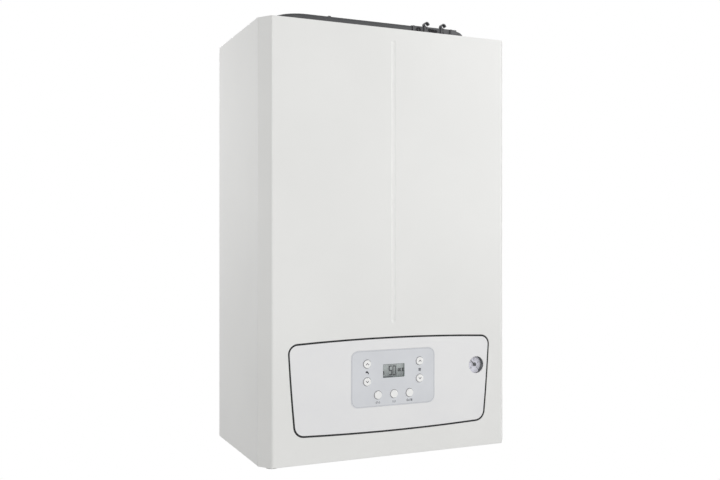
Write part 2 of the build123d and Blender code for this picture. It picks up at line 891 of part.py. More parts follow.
with BuildPart() as cable_bracket:
    bracket_left = notch_left + bracket_gap
    bracket_right = notch_right - bracket_gap
    bracket_mid = (bracket_left + bracket_right) / 2
    bracket_width = bracket_right - bracket_left
    with BuildSketch(Plane.XZ.offset(hood_reach - bracket_wall - bracket_setback)):
        with Locations((bracket_mid, top_z + hood_height / 2)):
            Rectangle(bracket_width, hood_height)
        with Locations((bracket_left + bracket_hole_inset, top_z + bracket_hole_height)):
            Circle(bracket_hole_radius, mode=Mode.SUBTRACT)
        with Locations(*[(x, top_z + rise) for x, rise in bracket_slots]):
            RectangleRounded(bracket_slot_width, bracket_slot_height, bracket_slot_corner, mode=Mode.SUBTRACT)
        with Locations(*[(x, top_z + rise) for x, rise in bracket_notches]):
            Rectangle(bracket_notch_width, bracket_notch_height, mode=Mode.SUBTRACT)
    extrude(amount=bracket_wall)
    with BuildSketch(Plane.XY.offset(top_z)):
        with Locations((bracket_mid, -(hood_reach - notch_depth / 2))):
            Rectangle(bracket_width, notch_depth - 2 * bracket_gap)
            Rectangle(bracket_width - 2 * bracket_foot, notch_depth, mode=Mode.SUBTRACT)
    extrude(amount=bracket_foot_thickness)
    with BuildSketch(Plane.XZ.offset(hood_reach - hook_depth)):
        for hook_x in hook_places:
            with Locations((hook_x, top_z + hood_height + hook_lift)):
                Circle(hook_radius)
                Circle(hook_radius - hook_wall, mode=Mode.SUBTRACT)
            with Locations((hook_x + hook_radius, top_z + hood_height + hook_lift - hook_mouth / 2)):
                Rectangle(hook_radius + hook_mouth_over, hook_mouth, mode=Mode.SUBTRACT)
    extrude(amount=hook_depth)
    with BuildSketch(Plane.XZ.offset(hood_reach - hook_depth)):
        hook_ribs = [x - hook_radius + bracket_rib / 2 for x in hook_places]
        for rib_x in (bracket_left + bracket_rib_inset, *hook_ribs, bracket_peg_x):
            with Locations((rib_x, top_z + hood_height / 2)):
                Rectangle(bracket_rib, hood_height)
    extrude(amount=hook_depth)

with BuildPart() as flue_adaptor:
    with BuildSketch(Plane.XY.offset(top_z)):
        with Locations((0, -flue_reach)):
            Circle(collar_flange)
            Circle(collar_radius - flue_wall, mode=Mode.SUBTRACT)
    extrude(amount=collar_flange_thickness)
    with BuildSketch(Plane.XY.offset(top_z)):
        with Locations((0, -flue_reach)):
            Circle(collar_radius)
            Circle(collar_radius - flue_wall, mode=Mode.SUBTRACT)
    extrude(amount=collar_height)

with BuildPart() as flue_duct:
    flue_points = [(flue_drop_x, -flue_drop_reach, level(exchanger_bottom)),
                   (flue_drop_x, -flue_drop_reach, level(flue_run_height)),
                   (0, -flue_reach, level(flue_run_height)),
                   (0, -flue_reach, top_z + collar_height)]
    add(pipe(flue_points, flue_radius + flue_wall, flue_bend))
    add(pipe(flue_points, flue_radius, flue_bend), mode=Mode.SUBTRACT)

# --- Expansion vessel -----------------------------------------------------------------------------

vessel_mid = level(vessel_bottom + vessel_height / 2)


def vessel_form(inset):
    """The vessel's flat, round-edged form, drawn in by an inset on every side."""
    with BuildPart() as form:
        with BuildSketch(Plane.XZ.offset(vessel_reach + inset)):
            with Locations((0, vessel_mid)):
                RectangleRounded(vessel_width - 2 * inset, vessel_height - 2 * inset, vessel_corner - inset)
        extrude(amount=vessel_thickness - 2 * inset)
        fillet(form.faces().sort_by(Axis.Y)[0].edges(), vessel_edge - inset)
        fillet(form.faces().sort_by(Axis.Y)[-1].edges(), vessel_edge - inset)
    return form.part


with BuildPart() as expansion_vessel:
    add(vessel_form(0))
    # rolled seam round the middle
    with BuildSketch(Plane.XZ.offset(vessel_reach + (vessel_thickness - vessel_seam_width) / 2)):
        with Locations((0, vessel_mid)):
            RectangleRounded(vessel_width + 2 * vessel_seam, vessel_height + 2 * vessel_seam,
                             vessel_corner + vessel_seam)
    extrude(amount=vessel_seam_width)
    with BuildSketch(Plane.XY.offset(level(vessel_bottom - vessel_port_drop))):
        with Locations((vessel_port_x, -(vessel_reach + vessel_thickness / 2))):
            RegularPolygon(vessel_port_size, 6)
    extrude(amount=vessel_port_length)
    add(vessel_form(vessel_wall), mode=Mode.SUBTRACT)

# --- Heat exchanger, burner, sump and trap --------------------------------------------------------

with BuildPart() as heat_exchanger:
    with BuildSketch(Plane.XY.offset(level(exchanger_bottom))):
        with Locations((exchanger_x, -exchanger_reach)):
            RectangleRounded(exchanger_width, exchanger_depth, exchanger_corner)
    extrude(amount=exchanger_height)
    for flange_z in (exchanger_bottom, exchanger_top - exchanger_flange_height):
        with BuildSketch(Plane.XY.offset(level(flange_z))):
            with Locations((exchanger_x, -exchanger_reach - exchanger_flange / 2)):
                RectangleRounded(exchanger_width + 2 * exchanger_side_flange,
                                 exchanger_depth + exchanger_flange,
                                 exchanger_corner)
        extrude(amount=exchanger_flange_height)
    rib_pitch = (exchanger_height - 2 * exchanger_flange_height) / (exchanger_rib_count + 1)
    for rib in range(exchanger_rib_count):
        rib_height = exchanger_bottom + exchanger_flange_height + (rib + 1) * rib_pitch - exchanger_rib / 2
        with BuildSketch(Plane.XY.offset(level(rib_height))):
            with Locations((exchanger_x, -exchanger_reach - exchanger_rib / 2)):
                RectangleRounded(exchanger_width + exchanger_rib, exchanger_depth + exchanger_rib,
                                 exchanger_corner)
        extrude(amount=exchanger_rib)
    with BuildSketch(Plane.XY.offset(level(exchanger_top))):
        with Locations((exchanger_x, -exchanger_reach)):
            RectangleRounded(chamber_width, chamber_depth, chamber_corner)
    extrude(amount=-chamber_height, mode=Mode.SUBTRACT)
    # water connections: flow on the left, return on the right
    with BuildSketch(Plane.YZ.offset(exchanger_left)):
        with Locations((-riser_reach, level(riser_top))):
            Circle(pipe_radius + boss_wall)
    extrude(amount=-boss_length)
    with BuildSketch(Plane.YZ.offset(exchanger_right)):
        with Locations((-pump_reach, level(return_inlet_height))):
            Circle(pipe_radius + boss_wall)
    extrude(amount=boss_length)

with BuildPart() as burner_door:
    with BuildSketch(Plane.XY.offset(level(exchanger_top))):
        with Locations((exchanger_x, -exchanger_reach - exchanger_flange / 2)):
            RectangleRounded(exchanger_width + 2 * exchanger_side_flange, exchanger_depth + exchanger_flange,
                             exchanger_corner)
    extrude(amount=door_thickness)
    with BuildSketch(Plane.XY.offset(level(exchanger_top))):
        with Locations((exchanger_x, -exchanger_reach)):
            RectangleRounded(chamber_width + 2 * plenum_margin, chamber_depth + 2 * plenum_margin,
                             plenum_corner)
    extrude(amount=plenum_height, taper=plenum_draft)
    fillet(burner_door.faces().sort_by(Axis.Z)[-1].edges(), plenum_edge)
    # neck that takes the mixture from the fan
    with BuildSketch(Plane.XZ.offset(fan_back_reach)) as neck:
        with BuildLine():
            neck_top = level(fan_height) + scroll_top
            neck_low = neck_top - outlet_height
            neck_foot = level(door_top) - neck_root
            neck_shoulder = neck_top - neck_bend
            Polyline((neck_left, neck_foot), (neck_left, neck_shoulder))
            RadiusArc((neck_left, neck_shoulder), (neck_left + neck_bend, neck_top), neck_bend)
            Polyline((neck_left + neck_bend, neck_top), (outlet_x, neck_top), (outlet_x, neck_low),
                     (neck_right, neck_low - neck_throat), (neck_right, neck_foot), (neck_left, neck_foot))
        make_face()
    extrude(amount=fan_thickness)
    with BuildSketch(Plane.XZ.offset(fan_back_reach + neck_wall)):
        with BuildLine():
            Polyline((neck_left + neck_wall, level(exchanger_top)),
                     (neck_left + neck_wall, neck_shoulder + 2 * neck_wall),
                     (neck_left + neck_bend - 2 * neck_wall, neck_top - neck_wall),
                     (outlet_x, neck_top - neck_wall),
                     (outlet_x, neck_low + neck_wall), (neck_right - neck_wall, neck_low - 2 * neck_wall),
                     (neck_right - neck_wall, level(exchanger_top)), close=True)
        make_face()
    extrude(amount=fan_thickness - 2 * neck_wall, mode=Mode.SUBTRACT)
    with BuildSketch(Plane.XY.offset(level(exchanger_top))):
        with Locations((exchanger_x, -exchanger_reach)):
            RectangleRounded(chamber_width - 2 * plenum_wall, chamber_depth - 2 * plenum_wall, chamber_corner)
    extrude(amount=plenum_height - plenum_roof, mode=Mode.SUBTRACT)

with BuildPart() as burner:
    with BuildSketch(Plane.YZ.offset(exchanger_x - burner_length / 2)):
        with Locations((-exchanger_reach, level(exchanger_top - burner_drop))):
            Circle(burner_radius)
            Circle(burner_radius - burner_wall, mode=Mode.SUBTRACT)
    extrude(amount=burner_length)
    with BuildSketch(Plane.XY.offset(level(exchanger_top))):
        with Locations((exchanger_x, -exchanger_reach)):
            RectangleRounded(burner_length, burner_neck_depth, burner_neck_corner)
    extrude(amount=-burner_neck_drop)
    with BuildSketch(Plane.XY.offset(level(exchanger_top))):
        with Locations((exchanger_x, -exchanger_reach)):
            RectangleRounded(chamber_width - 2 * burner_flange_gap, chamber_depth - 2 * burner_flange_gap,
                             chamber_corner - burner_flange_gap)
    extrude(amount=-burner_flange)
    with BuildSketch(Plane.XY.offset(level(exchanger_top))):
        with Locations((exchanger_x, -exchanger_reach)):
            RectangleRounded(burner_length - 2 * burner_neck_wall, burner_neck_depth - 2 * burner_neck_wall,
                             burner_neck_corner - burner_wall)
    extrude(amount=-burner_neck_drop - burner_flange, mode=Mode.SUBTRACT)

with BuildPart() as ignition_electrode:
    with BuildSketch(Plane.XZ.offset(electrode_seat)):
        with Locations((electrode_x, level(exchanger_top - electrode_drop))):
            RectangleRounded(electrode_plate_width, electrode_plate_height, electrode_plate_corner)
    extrude(amount=electrode_plate)
    with BuildSketch(Plane.XZ.offset(electrode_seat)):
        with Locations((electrode_x - electrode_half_pitch, level(exchanger_top - electrode_drop)),
                       (electrode_x + electrode_half_pitch, level(exchanger_top - electrode_drop))):
            Circle(electrode_radius)
    extrude(amount=electrode_length)

with BuildPart() as condensate_sump:
    sump_top = level(exchanger_bottom)
    with BuildSketch(Plane.XY.offset(sump_top)) as sump_plan:
        with Locations((exchanger_x, -exchanger_reach)):
            RectangleRounded(exchanger_width, exchanger_depth, exchanger_corner)
        with Locations(((sump_left + exchanger_x) / 2, -(trap_reach + flue_drop_reach) / 2)):
            RectangleRounded(exchanger_x - sump_left, sump_wing_depth, sump_wing_corner)
    extrude(amount=-sump_height)
    fillet(condensate_sump.faces().sort_by(Axis.Z)[0].edges(), sump_edge)
    with BuildSketch(Plane.XY.offset(sump_top)):
        add(sump_plan.sketch_local)
        offset(amount=-sump_wall)
    extrude(amount=-sump_height + sump_wall, mode=Mode.SUBTRACT)
    with BuildSketch(Plane.XY.offset(sump_top)):
        with Locations(((sump_left + exchanger_left) / 2, -(trap_reach + flue_drop_reach) / 2)):
            Rectangle(exchanger_left - sump_left - 2 * sump_lid_side, sump_wing_depth - 2 * sump_lid_edge)
        with Locations((flue_drop_x, -flue_drop_reach)):
            Circle(flue_radius, mode=Mode.SUBTRACT)
    extrude(amount=-sump_wall)

with BuildPart() as condensate_trap:
    trap_top = level(exchanger_bottom - sump_height)
    with BuildSketch(Plane.XY.offset(trap_top)):
        with Locations((trap_x, -trap_reach)):
            Circle(trap_radius)
    extrude(amount=-trap_height)
    fillet(condensate_trap.edges().filter_by(GeomType.CIRCLE).sort_by(Axis.Z)[0], trap_edge)
    for ring_drop in trap_ring_drops:
        with BuildSketch(Plane.XY.offset(trap_top - ring_drop)):
            with Locations((trap_x, -trap_reach)):
                Circle(trap_radius + trap_ring_lip)
        extrude(amount=-trap_ring)
    with BuildSketch(Plane.XY.offset(base_z - stub_drop)):
        with Locations((trap_x, -trap_reach)):
            Circle(trap_tail_radius)
    extrude(amount=stub_drop - stub_relief)
    with BuildSketch(Plane.XY.offset(base_z - stub_drop)):
        with Locations((trap_x, -trap_reach)):
            Circle(trap_tail_radius - stub_relief / 2)
    extrude(amount=trap_top - trap_height - base_z + stub_drop)
    with BuildSketch(Plane.XY.offset(base_z - stub_drop)):
        with Locations((trap_x, -trap_reach)):
            Circle(trap_tail_radius - trap_tail_wall)
    extrude(amount=stub_drop, mode=Mode.SUBTRACT)

# --- Fan, mixer, silencer and gas line ------------------------------------------------------------

fan_z = level(fan_height)


def fan_plane(reach):
    """A plane square to the fan's axis, centred on it."""
    return Plane(origin=(fan_x, -reach, fan_z), x_dir=(1, 0, 0), z_dir=(0, -1, 0))


def scroll_face(growth, reach):
    """Plan of the fan's scroll: three quarter arcs of growing radius and a straight outlet."""
    with BuildSketch(fan_plane(reach), mode=Mode.PRIVATE) as scroll:
        with BuildLine():
            tongue = (-scroll_radius, -scroll_step / 2)
            low = JernArc(tongue, (0, -1), scroll_radius + scroll_step / 2, 90)
            right = JernArc(low @ 1, (1, 0), scroll_radius + 3 * scroll_step / 2, 90)
            high = JernArc(right @ 1, (0, 1), scroll_radius + 2.5 * scroll_step, 90)
            mouth_x = outlet_x - fan_x
            mouth_low = (high @ 1).Y - outlet_height
            Polyline(high @ 1, (mouth_x, (high @ 1).Y), (mouth_x, mouth_low),
                     (tongue[0] + scroll_tongue, mouth_low), tongue)
        make_face()
        if growth:
            offset(amount=growth)
    return scroll.sketch


with BuildPart() as fan_housing:
    extrude(scroll_face(0, fan_back_reach), amount=fan_thickness)
    extrude(scroll_face(-fan_wall, fan_back_reach + fan_wall), amount=fan_thickness - 2 * fan_wall,
            mode=Mode.SUBTRACT)
    with BuildSketch(fan_plane(fan_back_reach)):
        Circle(inlet_radius)
    extrude(amount=fan_wall, mode=Mode.SUBTRACT)
    with BuildSketch(fan_plane(fan_front_reach)):
        Circle(shaft_radius + motor_boss_gap)
    extrude(amount=-fan_wall, mode=Mode.SUBTRACT)
    # outlet mouth towards the neck of the burner door
    with BuildSketch(Plane.YZ.offset(outlet_x)):
        with Locations((-(fan_back_reach + fan_front_reach) / 2, fan_z + scroll_top - outlet_height / 2)):
            Rectangle(fan_thickness - 2 * fan_wall, outlet_height - 2 * fan_wall)
    extrude(amount=2 * fan_wall, mode=Mode.SUBTRACT)

blade_path = ThreePointArc((inlet_radius + blade_root_gap, 0),
                           (impeller_radius - blade_middle_inset, -blade_middle_sweep),
                           (impeller_radius - blade_tip_inset, -blade_tip_sweep))
impeller_back = fan_back_reach + (fan_thickness - impeller_width) / 2

with BuildPart() as fan_impeller:
    with BuildSketch(fan_plane(impeller_back + impeller_width - impeller_plate)):
        Circle(impeller_radius)
    extrude(amount=impeller_plate)
    with BuildSketch(fan_plane(impeller_back)):
        Circle(impeller_radius)
        Circle(inlet_radius + impeller_eye_lip, mode=Mode.SUBTRACT)
    extrude(amount=impeller_shroud)
    with BuildSketch(fan_plane(impeller_back + impeller_shroud / 2)):
        with PolarLocations(0, blade_count):
            SlotArc(blade_path, blade_thickness)
    extrude(amount=impeller_width - impeller_plate)
    with BuildSketch(fan_plane(impeller_back + impeller_hub_inset)):
        Circle(impeller_hub_radius)
    extrude(amount=impeller_width - impeller_hub_inset - impeller_plate / 2, taper=impeller_hub_draft)
    with BuildSketch(fan_plane(impeller_back + impeller_width - impeller_plate)):
        Circle(shaft_radius)
    extrude(amount=fan_front_reach - impeller_back - impeller_width + impeller_plate + motor_depth / 2)

with BuildPart() as fan_motor:
    with BuildSketch(fan_plane(fan_front_reach)):
        Circle(motor_radius)
        with PolarLocations(motor_radius + motor_flange, motor_ear_count, start_angle=motor_ear_turn):
            Circle(motor_ear_radius)
    extrude(amount=motor_flange)
    with BuildSketch(fan_plane(fan_front_reach)):
        Circle(motor_radius - motor_flange)
    extrude(amount=motor_depth)
    fillet(fan_motor.faces().sort_by(Axis.Y)[0].edges(), motor_edge)
    with BuildSketch(fan_plane(fan_front_reach + motor_depth - motor_vent_depth)):
        with PolarLocations(motor_radius - motor_vent_inset, motor_vent_count):
            RectangleRounded(motor_vent_length, motor_vent_width, motor_vent_corner)
    extrude(amount=motor_vent_depth, mode=Mode.SUBTRACT)
    with BuildSketch(fan_plane(fan_front_reach)):
        Circle(shaft_radius + shaft_fit)
    extrude(amount=motor_depth / 2 + motor_boss_gap, mode=Mode.SUBTRACT)
    with BuildSketch(Plane.YZ.offset(fan_x + motor_radius - motor_plug_sink)):
        with Locations((-fan_front_reach - motor_plug_length, fan_z)):
            RectangleRounded(motor_plug_width, motor_plug_height, motor_plug_corner)
    extrude(amount=motor_plug_length)

with BuildPart() as gas_air_mixer:
    # round flange on the fan's eye, then a throat that turns down
    with BuildSketch(Plane.XZ.offset(fan_back_reach)):
        with Locations((fan_x, fan_z)):
            Circle(inlet_radius + mixer_flange_lip)
    extrude(amount=-mixer_flange)
    with BuildSketch(Plane.XZ.offset(fan_back_reach)):
        with Locations((fan_x, fan_z)):
            Circle(mixer_radius)
    extrude(amount=-(fan_back_reach - mixer_reach))
    with BuildSketch(Plane.XY.offset(level(mixer_bottom))):
        with Locations((fan_x, -mixer_reach)):
            Circle(mixer_radius)
    extrude(amount=fan_height - mixer_bottom)
    with Locations((fan_x, -mixer_reach, fan_z)):
        Sphere(mixer_radius)
    with BuildSketch(Plane.XZ.offset(fan_back_reach)):
        with Locations((fan_x, fan_z)):
            Circle(mixer_radius - mixer_wall)
    extrude(amount=-(fan_back_reach - mixer_reach), mode=Mode.SUBTRACT)
    with BuildSketch(Plane.XY.offset(level(mixer_bottom))):
        with Locations((fan_x, -mixer_reach)):
            Circle(mixer_radius - mixer_wall)
    extrude(amount=fan_height - mixer_bottom, mode=Mode.SUBTRACT)
    with BuildSketch(Plane.XZ.offset(mixer_reach + mixer_radius - mixer_port_sink)):
        with Locations((gas_valve_x, level(gas_feed_height))):
            Circle(gas_feed_radius + mixer_wall)
    extrude(amount=mixer_port_length)

with BuildPart() as air_silencer:
    with BuildSketch(Plane.XY.offset(level(mixer_bottom))):
        with Locations((fan_x, -mixer_reach)):
            RectangleRounded(silencer_width, silencer_depth, silencer_corner)
    extrude(amount=-silencer_height)
    fillet(air_silencer.faces().sort_by(Axis.Z)[-1].edges(), silencer_edge)
    for rib_drop in silencer_ribs:
        with BuildSketch(Plane.XY.offset(level(mixer_bottom - rib_drop))):
            with Locations((fan_x, -mixer_reach)):
                RectangleRounded(silencer_width + 2 * silencer_rib_lip, silencer_depth + 2 * silencer_rib_lip,
                                 silencer_corner + silencer_rib_lip)
        extrude(amount=-silencer_rib)
    with BuildSketch(Plane.XY.offset(level(mixer_bottom - silencer_height))):
        with Locations((fan_x, -mixer_reach)):
            RectangleRounded(silencer_width - 2 * silencer_wall, silencer_depth - 2 * silencer_wall,
                             silencer_corner - silencer_wall)
    extrude(amount=silencer_height - silencer_roof, mode=Mode.SUBTRACT)
    with BuildSketch(Plane.XY.offset(level(mixer_bottom))):
        with Locations((fan_x, -mixer_reach)):
            Circle(mixer_radius - mixer_wall)
    extrude(amount=-silencer_roof - silencer_wall, mode=Mode.SUBTRACT)

valve_top = gas_valve_bottom + gas_valve_height

with BuildPart() as gas_valve:
    with BuildSketch(Plane.XY.offset(level(gas_valve_bottom + gas_valve_step))):
        with Locations((gas_valve_x, -gas_valve_reach)):
            RectangleRounded(gas_valve_size, gas_valve_size, gas_valve_corner)
    extrude(amount=gas_valve_height - 2 * gas_valve_step)
    chamfer(gas_valve.faces().sort_by(Axis.Z)[-1].edges(), gas_valve_edge)
    for boss_bottom in (gas_valve_bottom, valve_top - gas_boss_height):
        with BuildSketch(Plane.XY.offset(level(boss_bottom))):
            with Locations((gas_valve_x, -gas_valve_reach)):
                RegularPolygon(gas_boss_size, 6)
        extrude(amount=gas_boss_height)
    # two solenoid coils and a pressure adjuster on the front
    with BuildSketch(Plane.XZ.offset(gas_valve_reach + gas_valve_size / 2)):
        with Locations(*[(gas_valve_x + shift,
                          level(gas_valve_bottom + coil_rise)) for shift in coil_offsets]):
            Circle(coil_radius)
    extrude(amount=coil_length)
    fillet(gas_valve.faces().sort_by(Axis.Y)[0:2].edges(), coil_edge)
    with BuildSketch(Plane.XZ.offset(gas_valve_reach + gas_valve_size / 2)):
        with Locations((gas_valve_x, level(gas_valve_bottom + adjuster_rise))):
            Circle(adjuster_radius)
    extrude(amount=adjuster_length)

stub_bottom = base_z - stub_drop
nut_bottom = base_z + grommet_top


def stub(x, radius):
    """A threaded connection stub with its hexagon nut, standing on the grommet."""
    with BuildPart() as body:
        with BuildSketch(Plane.XY.offset(stub_bottom)):
            with Locations((x, -pipe_reach)):
                Circle(radius)
        extrude(amount=stub_drop - stub_relief)
        chamfer(body.edges().group_by(Axis.Z)[0], stub_edge)
        with BuildSketch(Plane.XY.offset(stub_bottom)):
            with Locations((x, -pipe_reach)):
                Circle(radius - stub_relief / 2)
        extrude(amount=level(manifold_bottom) - stub_bottom)
        with BuildSketch(Plane.XY.offset(nut_bottom)):
            with Locations((x, -pipe_reach)):
                RegularPolygon(radius + grommet_flange - nut_inset, 6)
        extrude(amount=nut_height)
        with BuildSketch(Plane.XY.offset(stub_bottom)):
            with Locations((x, -pipe_reach)):
                Circle(radius - stub_wall)
        extrude(amount=stub_bore, mode=Mode.SUBTRACT)
    return body.part


with BuildPart() as gas_pipe:
    add(stub(gas_x, big_stub))
    gas_points = [(gas_x, -pipe_reach, level(manifold_bottom) - gas_root),
                  (gas_x, -pipe_reach, level(gas_lower_bend_height)),
                  (gas_valve_x, -gas_valve_reach, level(gas_upper_bend_height)),
                  (gas_valve_x, -gas_valve_reach, level(gas_valve_bottom))]
    add(pipe(gas_points, gas_radius, gas_bend))

with BuildPart() as gas_feed_pipe:
    feed_points = [(gas_valve_x, -gas_valve_reach, level(valve_top)),
                   (gas_valve_x, -gas_valve_reach, level(gas_feed_height)),
                   (gas_valve_x, -(mixer_reach + mixer_radius + gas_feed_sink), level(gas_feed_height))]
    add(pipe(feed_points, gas_feed_radius, gas_feed_bend))

# --- Water circuit --------------------------------------------------------------------------------


def manifold(side):
    """A brass manifold block with its two connection stubs."""
    near = side * manifold_inner
    far = side * manifold_end
    with BuildPart() as block:
        with BuildSketch(Plane.YZ.offset(min(near, far))):
            with Locations((-pipe_reach, level(manifold_bottom + manifold_height / 2))):
                RectangleRounded(manifold_depth, manifold_height, manifold_corner)
        extrude(amount=manifold_end - manifold_inner)
        fillet(block.faces().sort_by(Axis.X)[0].edges(), manifold_edge)
        fillet(block.faces().sort_by(Axis.X)[-1].edges(), manifold_edge)
        if side < 0:
            add(stub(flow_x, big_stub))
            add(stub(hot_x, small_stub))
        else:
            add(stub(cold_x, small_stub))
            add(stub(return_x, big_stub))
    return block.part


with BuildPart() as flow_manifold:
    add(manifold(-1))
    with BuildSketch(Plane.XY.offset(level(manifold_top) - manifold_nut_sink)):
        with Locations((riser_x, -riser_reach)):
            RegularPolygon(pipe_radius + manifold_nut_lip, 6)
    extrude(amount=manifold_nut_height + manifold_nut_sink)
    # chamber of the diverter, open at the top under the actuator
    with BuildSketch(Plane.XY.offset(level(manifold_top))):
        with Locations((actuator_x, -pipe_reach)):
            Circle(spindle_chamber_radius)
    extrude(amount=-diverter_depth, mode=Mode.SUBTRACT)

with BuildPart() as return_manifold:
    add(manifold(1))
    with BuildSketch(Plane.XY.offset(level(manifold_top) - manifold_nut_sink)):
        with Locations((pump_x, -pump_reach)):
            Circle(pump_port_radius)
    extrude(amount=pump_neck - manifold_top + manifold_nut_sink)
    # valve body of the filling tap, down through the bottom plate
    with BuildSketch(Plane.XY.offset(level(manifold_bottom) + tap_sleeve_root)):
        with Locations((tap_x, -pipe_reach)):
            Circle(tap_stem_radius + tap_sleeve_lip)
    extrude(amount=-tap_sleeve_length - tap_sleeve_root)
    with BuildSketch(Plane.XY.offset(level(manifold_bottom) - tap_sleeve_length)):
        with Locations((tap_x, -pipe_reach)):
            Circle(tap_stem_radius + hinge_fit)
    extrude(amount=tap_bore, mode=Mode.SUBTRACT)

with BuildPart() as filling_tap:
    with BuildSketch(Plane.XY.offset(base_z - tap_gap)):
        with Locations((tap_x, -pipe_reach)):
            Circle(tap_radius)
    extrude(amount=-tap_knob_height, taper=tap_knob_draft)
    fillet(filling_tap.faces().sort_by(Axis.Z)[0].edges(), tap_knob_edge)
    with BuildSketch(Plane.XY.offset(base_z - tap_gap)):
        with Locations((tap_x, -pipe_reach)):
            with PolarLocations(tap_radius + knob_flute_shift, tap_flutes):
                Circle(tap_flute_radius)
    extrude(amount=-tap_knob_height, mode=Mode.SUBTRACT)
    with BuildSketch(Plane.XY.offset(base_z - tap_gap)):
        with Locations((tap_x, -pipe_reach)):
            Circle(tap_stem_radius)
    extrude(amount=manifold_bottom + tap_gap - tap_sleeve_length + tap_bore - tap_stem_gap)

with BuildPart() as plate_heat_exchanger:
    with BuildSketch(Plane.XZ.offset(plate_back_reach)):
        with Locations((0, level(plate_bottom + plate_height / 2))):
            RectangleRounded(plate_width, plate_height, plate_corner)
    extrude(amount=plate_depth)
    plate_pitch = plate_depth / plate_count
    for layer in range(1, plate_count):
        with BuildSketch(Plane.XZ.offset(plate_back_reach + layer * plate_pitch - plate_edge_thickness / 2)):
            with Locations((0, level(plate_bottom + plate_height / 2))):
                RectangleRounded(plate_width + 2 * plate_lip, plate_height + 2 * plate_lip,
                                 plate_corner + plate_lip)
        extrude(amount=plate_edge_thickness)
    # two ports meet each manifold
    with BuildSketch(Plane.XZ.offset(plate_back_reach + plate_depth)):
        with GridLocations(plate_width - 2 * plate_port_inset, 1, 2, 1):
            with Locations((0, level(manifold_top - plate_port_drop))):
                Circle(plate_port_radius)
    extrude(amount=manifold_back_reach - plate_back_reach - plate_depth)

with BuildPart() as diverter_actuator:
    with BuildSketch(Plane.XY.offset(level(manifold_top))):
        with Locations((actuator_x, -pipe_reach)):
            RectangleRounded(actuator_width, actuator_depth, actuator_corner)
    extrude(amount=actuator_height)
    fillet(diverter_actuator.faces().sort_by(Axis.Z)[-1].edges(), actuator_edge)
    with BuildSketch(Plane.XY.offset(level(manifold_top))):
        with Locations((actuator_x, -pipe_reach)):
            Circle(spindle_radius + shaft_fit)
    extrude(amount=actuator_height / 2, mode=Mode.SUBTRACT)
    with BuildSketch(Plane.XZ.offset(pipe_reach + actuator_depth / 2)):
        with Locations((actuator_x, level(manifold_top + actuator_height - actuator_plug_drop))):
            RectangleRounded(actuator_plug_width, actuator_plug_height, actuator_plug_corner)
    extrude(amount=actuator_plug_length)

with BuildPart() as diverter_spindle:
    with BuildSketch(Plane.XY.offset(level(manifold_top - spindle_low_drop))):
        with Locations((actuator_x, -pipe_reach)):
            Circle(spindle_radius)
    extrude(amount=spindle_low_drop + actuator_height / 2 - spindle_travel - spindle_top_gap)
    for disc_drop in (spindle_low_drop, spindle_high_drop):
        with BuildSketch(Plane.XY.offset(level(manifold_top - disc_drop))):
            with Locations((actuator_x, -pipe_reach)):
                Circle(spindle_disc_radius)
        extrude(amount=spindle_disc)

with BuildPart() as pump_body:
    with BuildSketch(Plane.XZ.offset(pump_reach - pump_width / 2)):
        with Locations((pump_x, level(pump_height))):
            Circle(pump_radius)
    extrude(amount=pump_width)
    fillet(pump_body.faces().sort_by(Axis.Y)[-1].edges(), pump_edge)
    with BuildSketch(Plane.XY.offset(level(pump_neck))):
        with Locations((pump_x, -pump_reach)):
            Circle(pump_port_radius)
    extrude(amount=pump_radius / 2)
    # tangential outlet on the left, automatic air vent on top
    outlet_pipe_x = pump_x - pump_radius + pump_outlet_inset
    with BuildSketch(Plane.XY.offset(level(pump_height))):
        with Locations((outlet_pipe_x, -pump_reach)):
            Circle(pump_outlet_radius)
    extrude(amount=pump_outlet_rise)
    with BuildSketch(Plane.XY.offset(level(pump_height + pump_outlet_rise))):
        with Locations((outlet_pipe_x, -pump_reach)):
            RegularPolygon(pump_nut_size, 6)
    extrude(amount=pump_nut_height)
    with BuildSketch(Plane.XY.offset(level(pump_height + vent_bottom))):
        with Locations((pump_x + vent_offset, -pump_reach)):
            Circle(vent_radius)
    extrude(amount=vent_height)
    fillet(pump_body.faces().sort_by(Axis.Z)[-1].edges(), vent_edge)
    with BuildSketch(Plane.XY.offset(level(pump_height + vent_bottom + vent_height))):
        with Locations((pump_x + vent_offset, -pump_reach)):
            Circle(vent_cap_radius)
    extrude(amount=vent_cap_height)
    chamber_back = pump_reach + pump_width / 2 - pump_chamber_width
    with BuildSketch(Plane.XZ.offset(chamber_back)):
        with Locations((pump_x, level(pump_height))):
            Circle(pump_chamber_radius)
    extrude(amount=pump_chamber_width, mode=Mode.SUBTRACT)

with BuildPart() as pump_motor:
    motor_back = pump_reach + pump_width / 2
    with BuildSketch(Plane.XZ.offset(motor_back)):
        with Locations((pump_x, level(pump_height))):
            Circle(pump_motor_radius + pump_flange_lip)
            with GridLocations(pump_screw_pitch, pump_screw_pitch, 2, 2):
                Circle(pump_screw_boss)
    extrude(amount=pump_flange)
    with BuildSketch(Plane.XZ.offset(motor_back)):
        with Locations((pump_x, level(pump_height))):
            Circle(pump_motor_radius)
    extrude(amount=pump_motor_length - pump_case_depth)
    with BuildSketch(Plane.XZ.offset(motor_back + pump_motor_length - pump_case_depth)):
        with Locations((pump_x, level(pump_height))):
            RectangleRounded(pump_case_width, pump_case_height, pump_case_corner)
    extrude(amount=pump_case_depth)
    fillet(pump_motor.faces().sort_by(Axis.Y)[0].edges(), pump_case_edge)
    with BuildSketch(Plane.XZ.offset(motor_back)):
        with Locations((pump_x, level(pump_height))):
            Circle(shaft_radius + shaft_fit)
    extrude(amount=pump_shaft_bore, mode=Mode.SUBTRACT)

vane_path = ThreePointArc((pump_vane_start, 0),
                          (pump_impeller_radius - pump_vane_middle_inset, -pump_vane_middle_sweep),
                          (pump_impeller_radius - pump_vane_tip_inset, -pump_vane_tip_sweep))


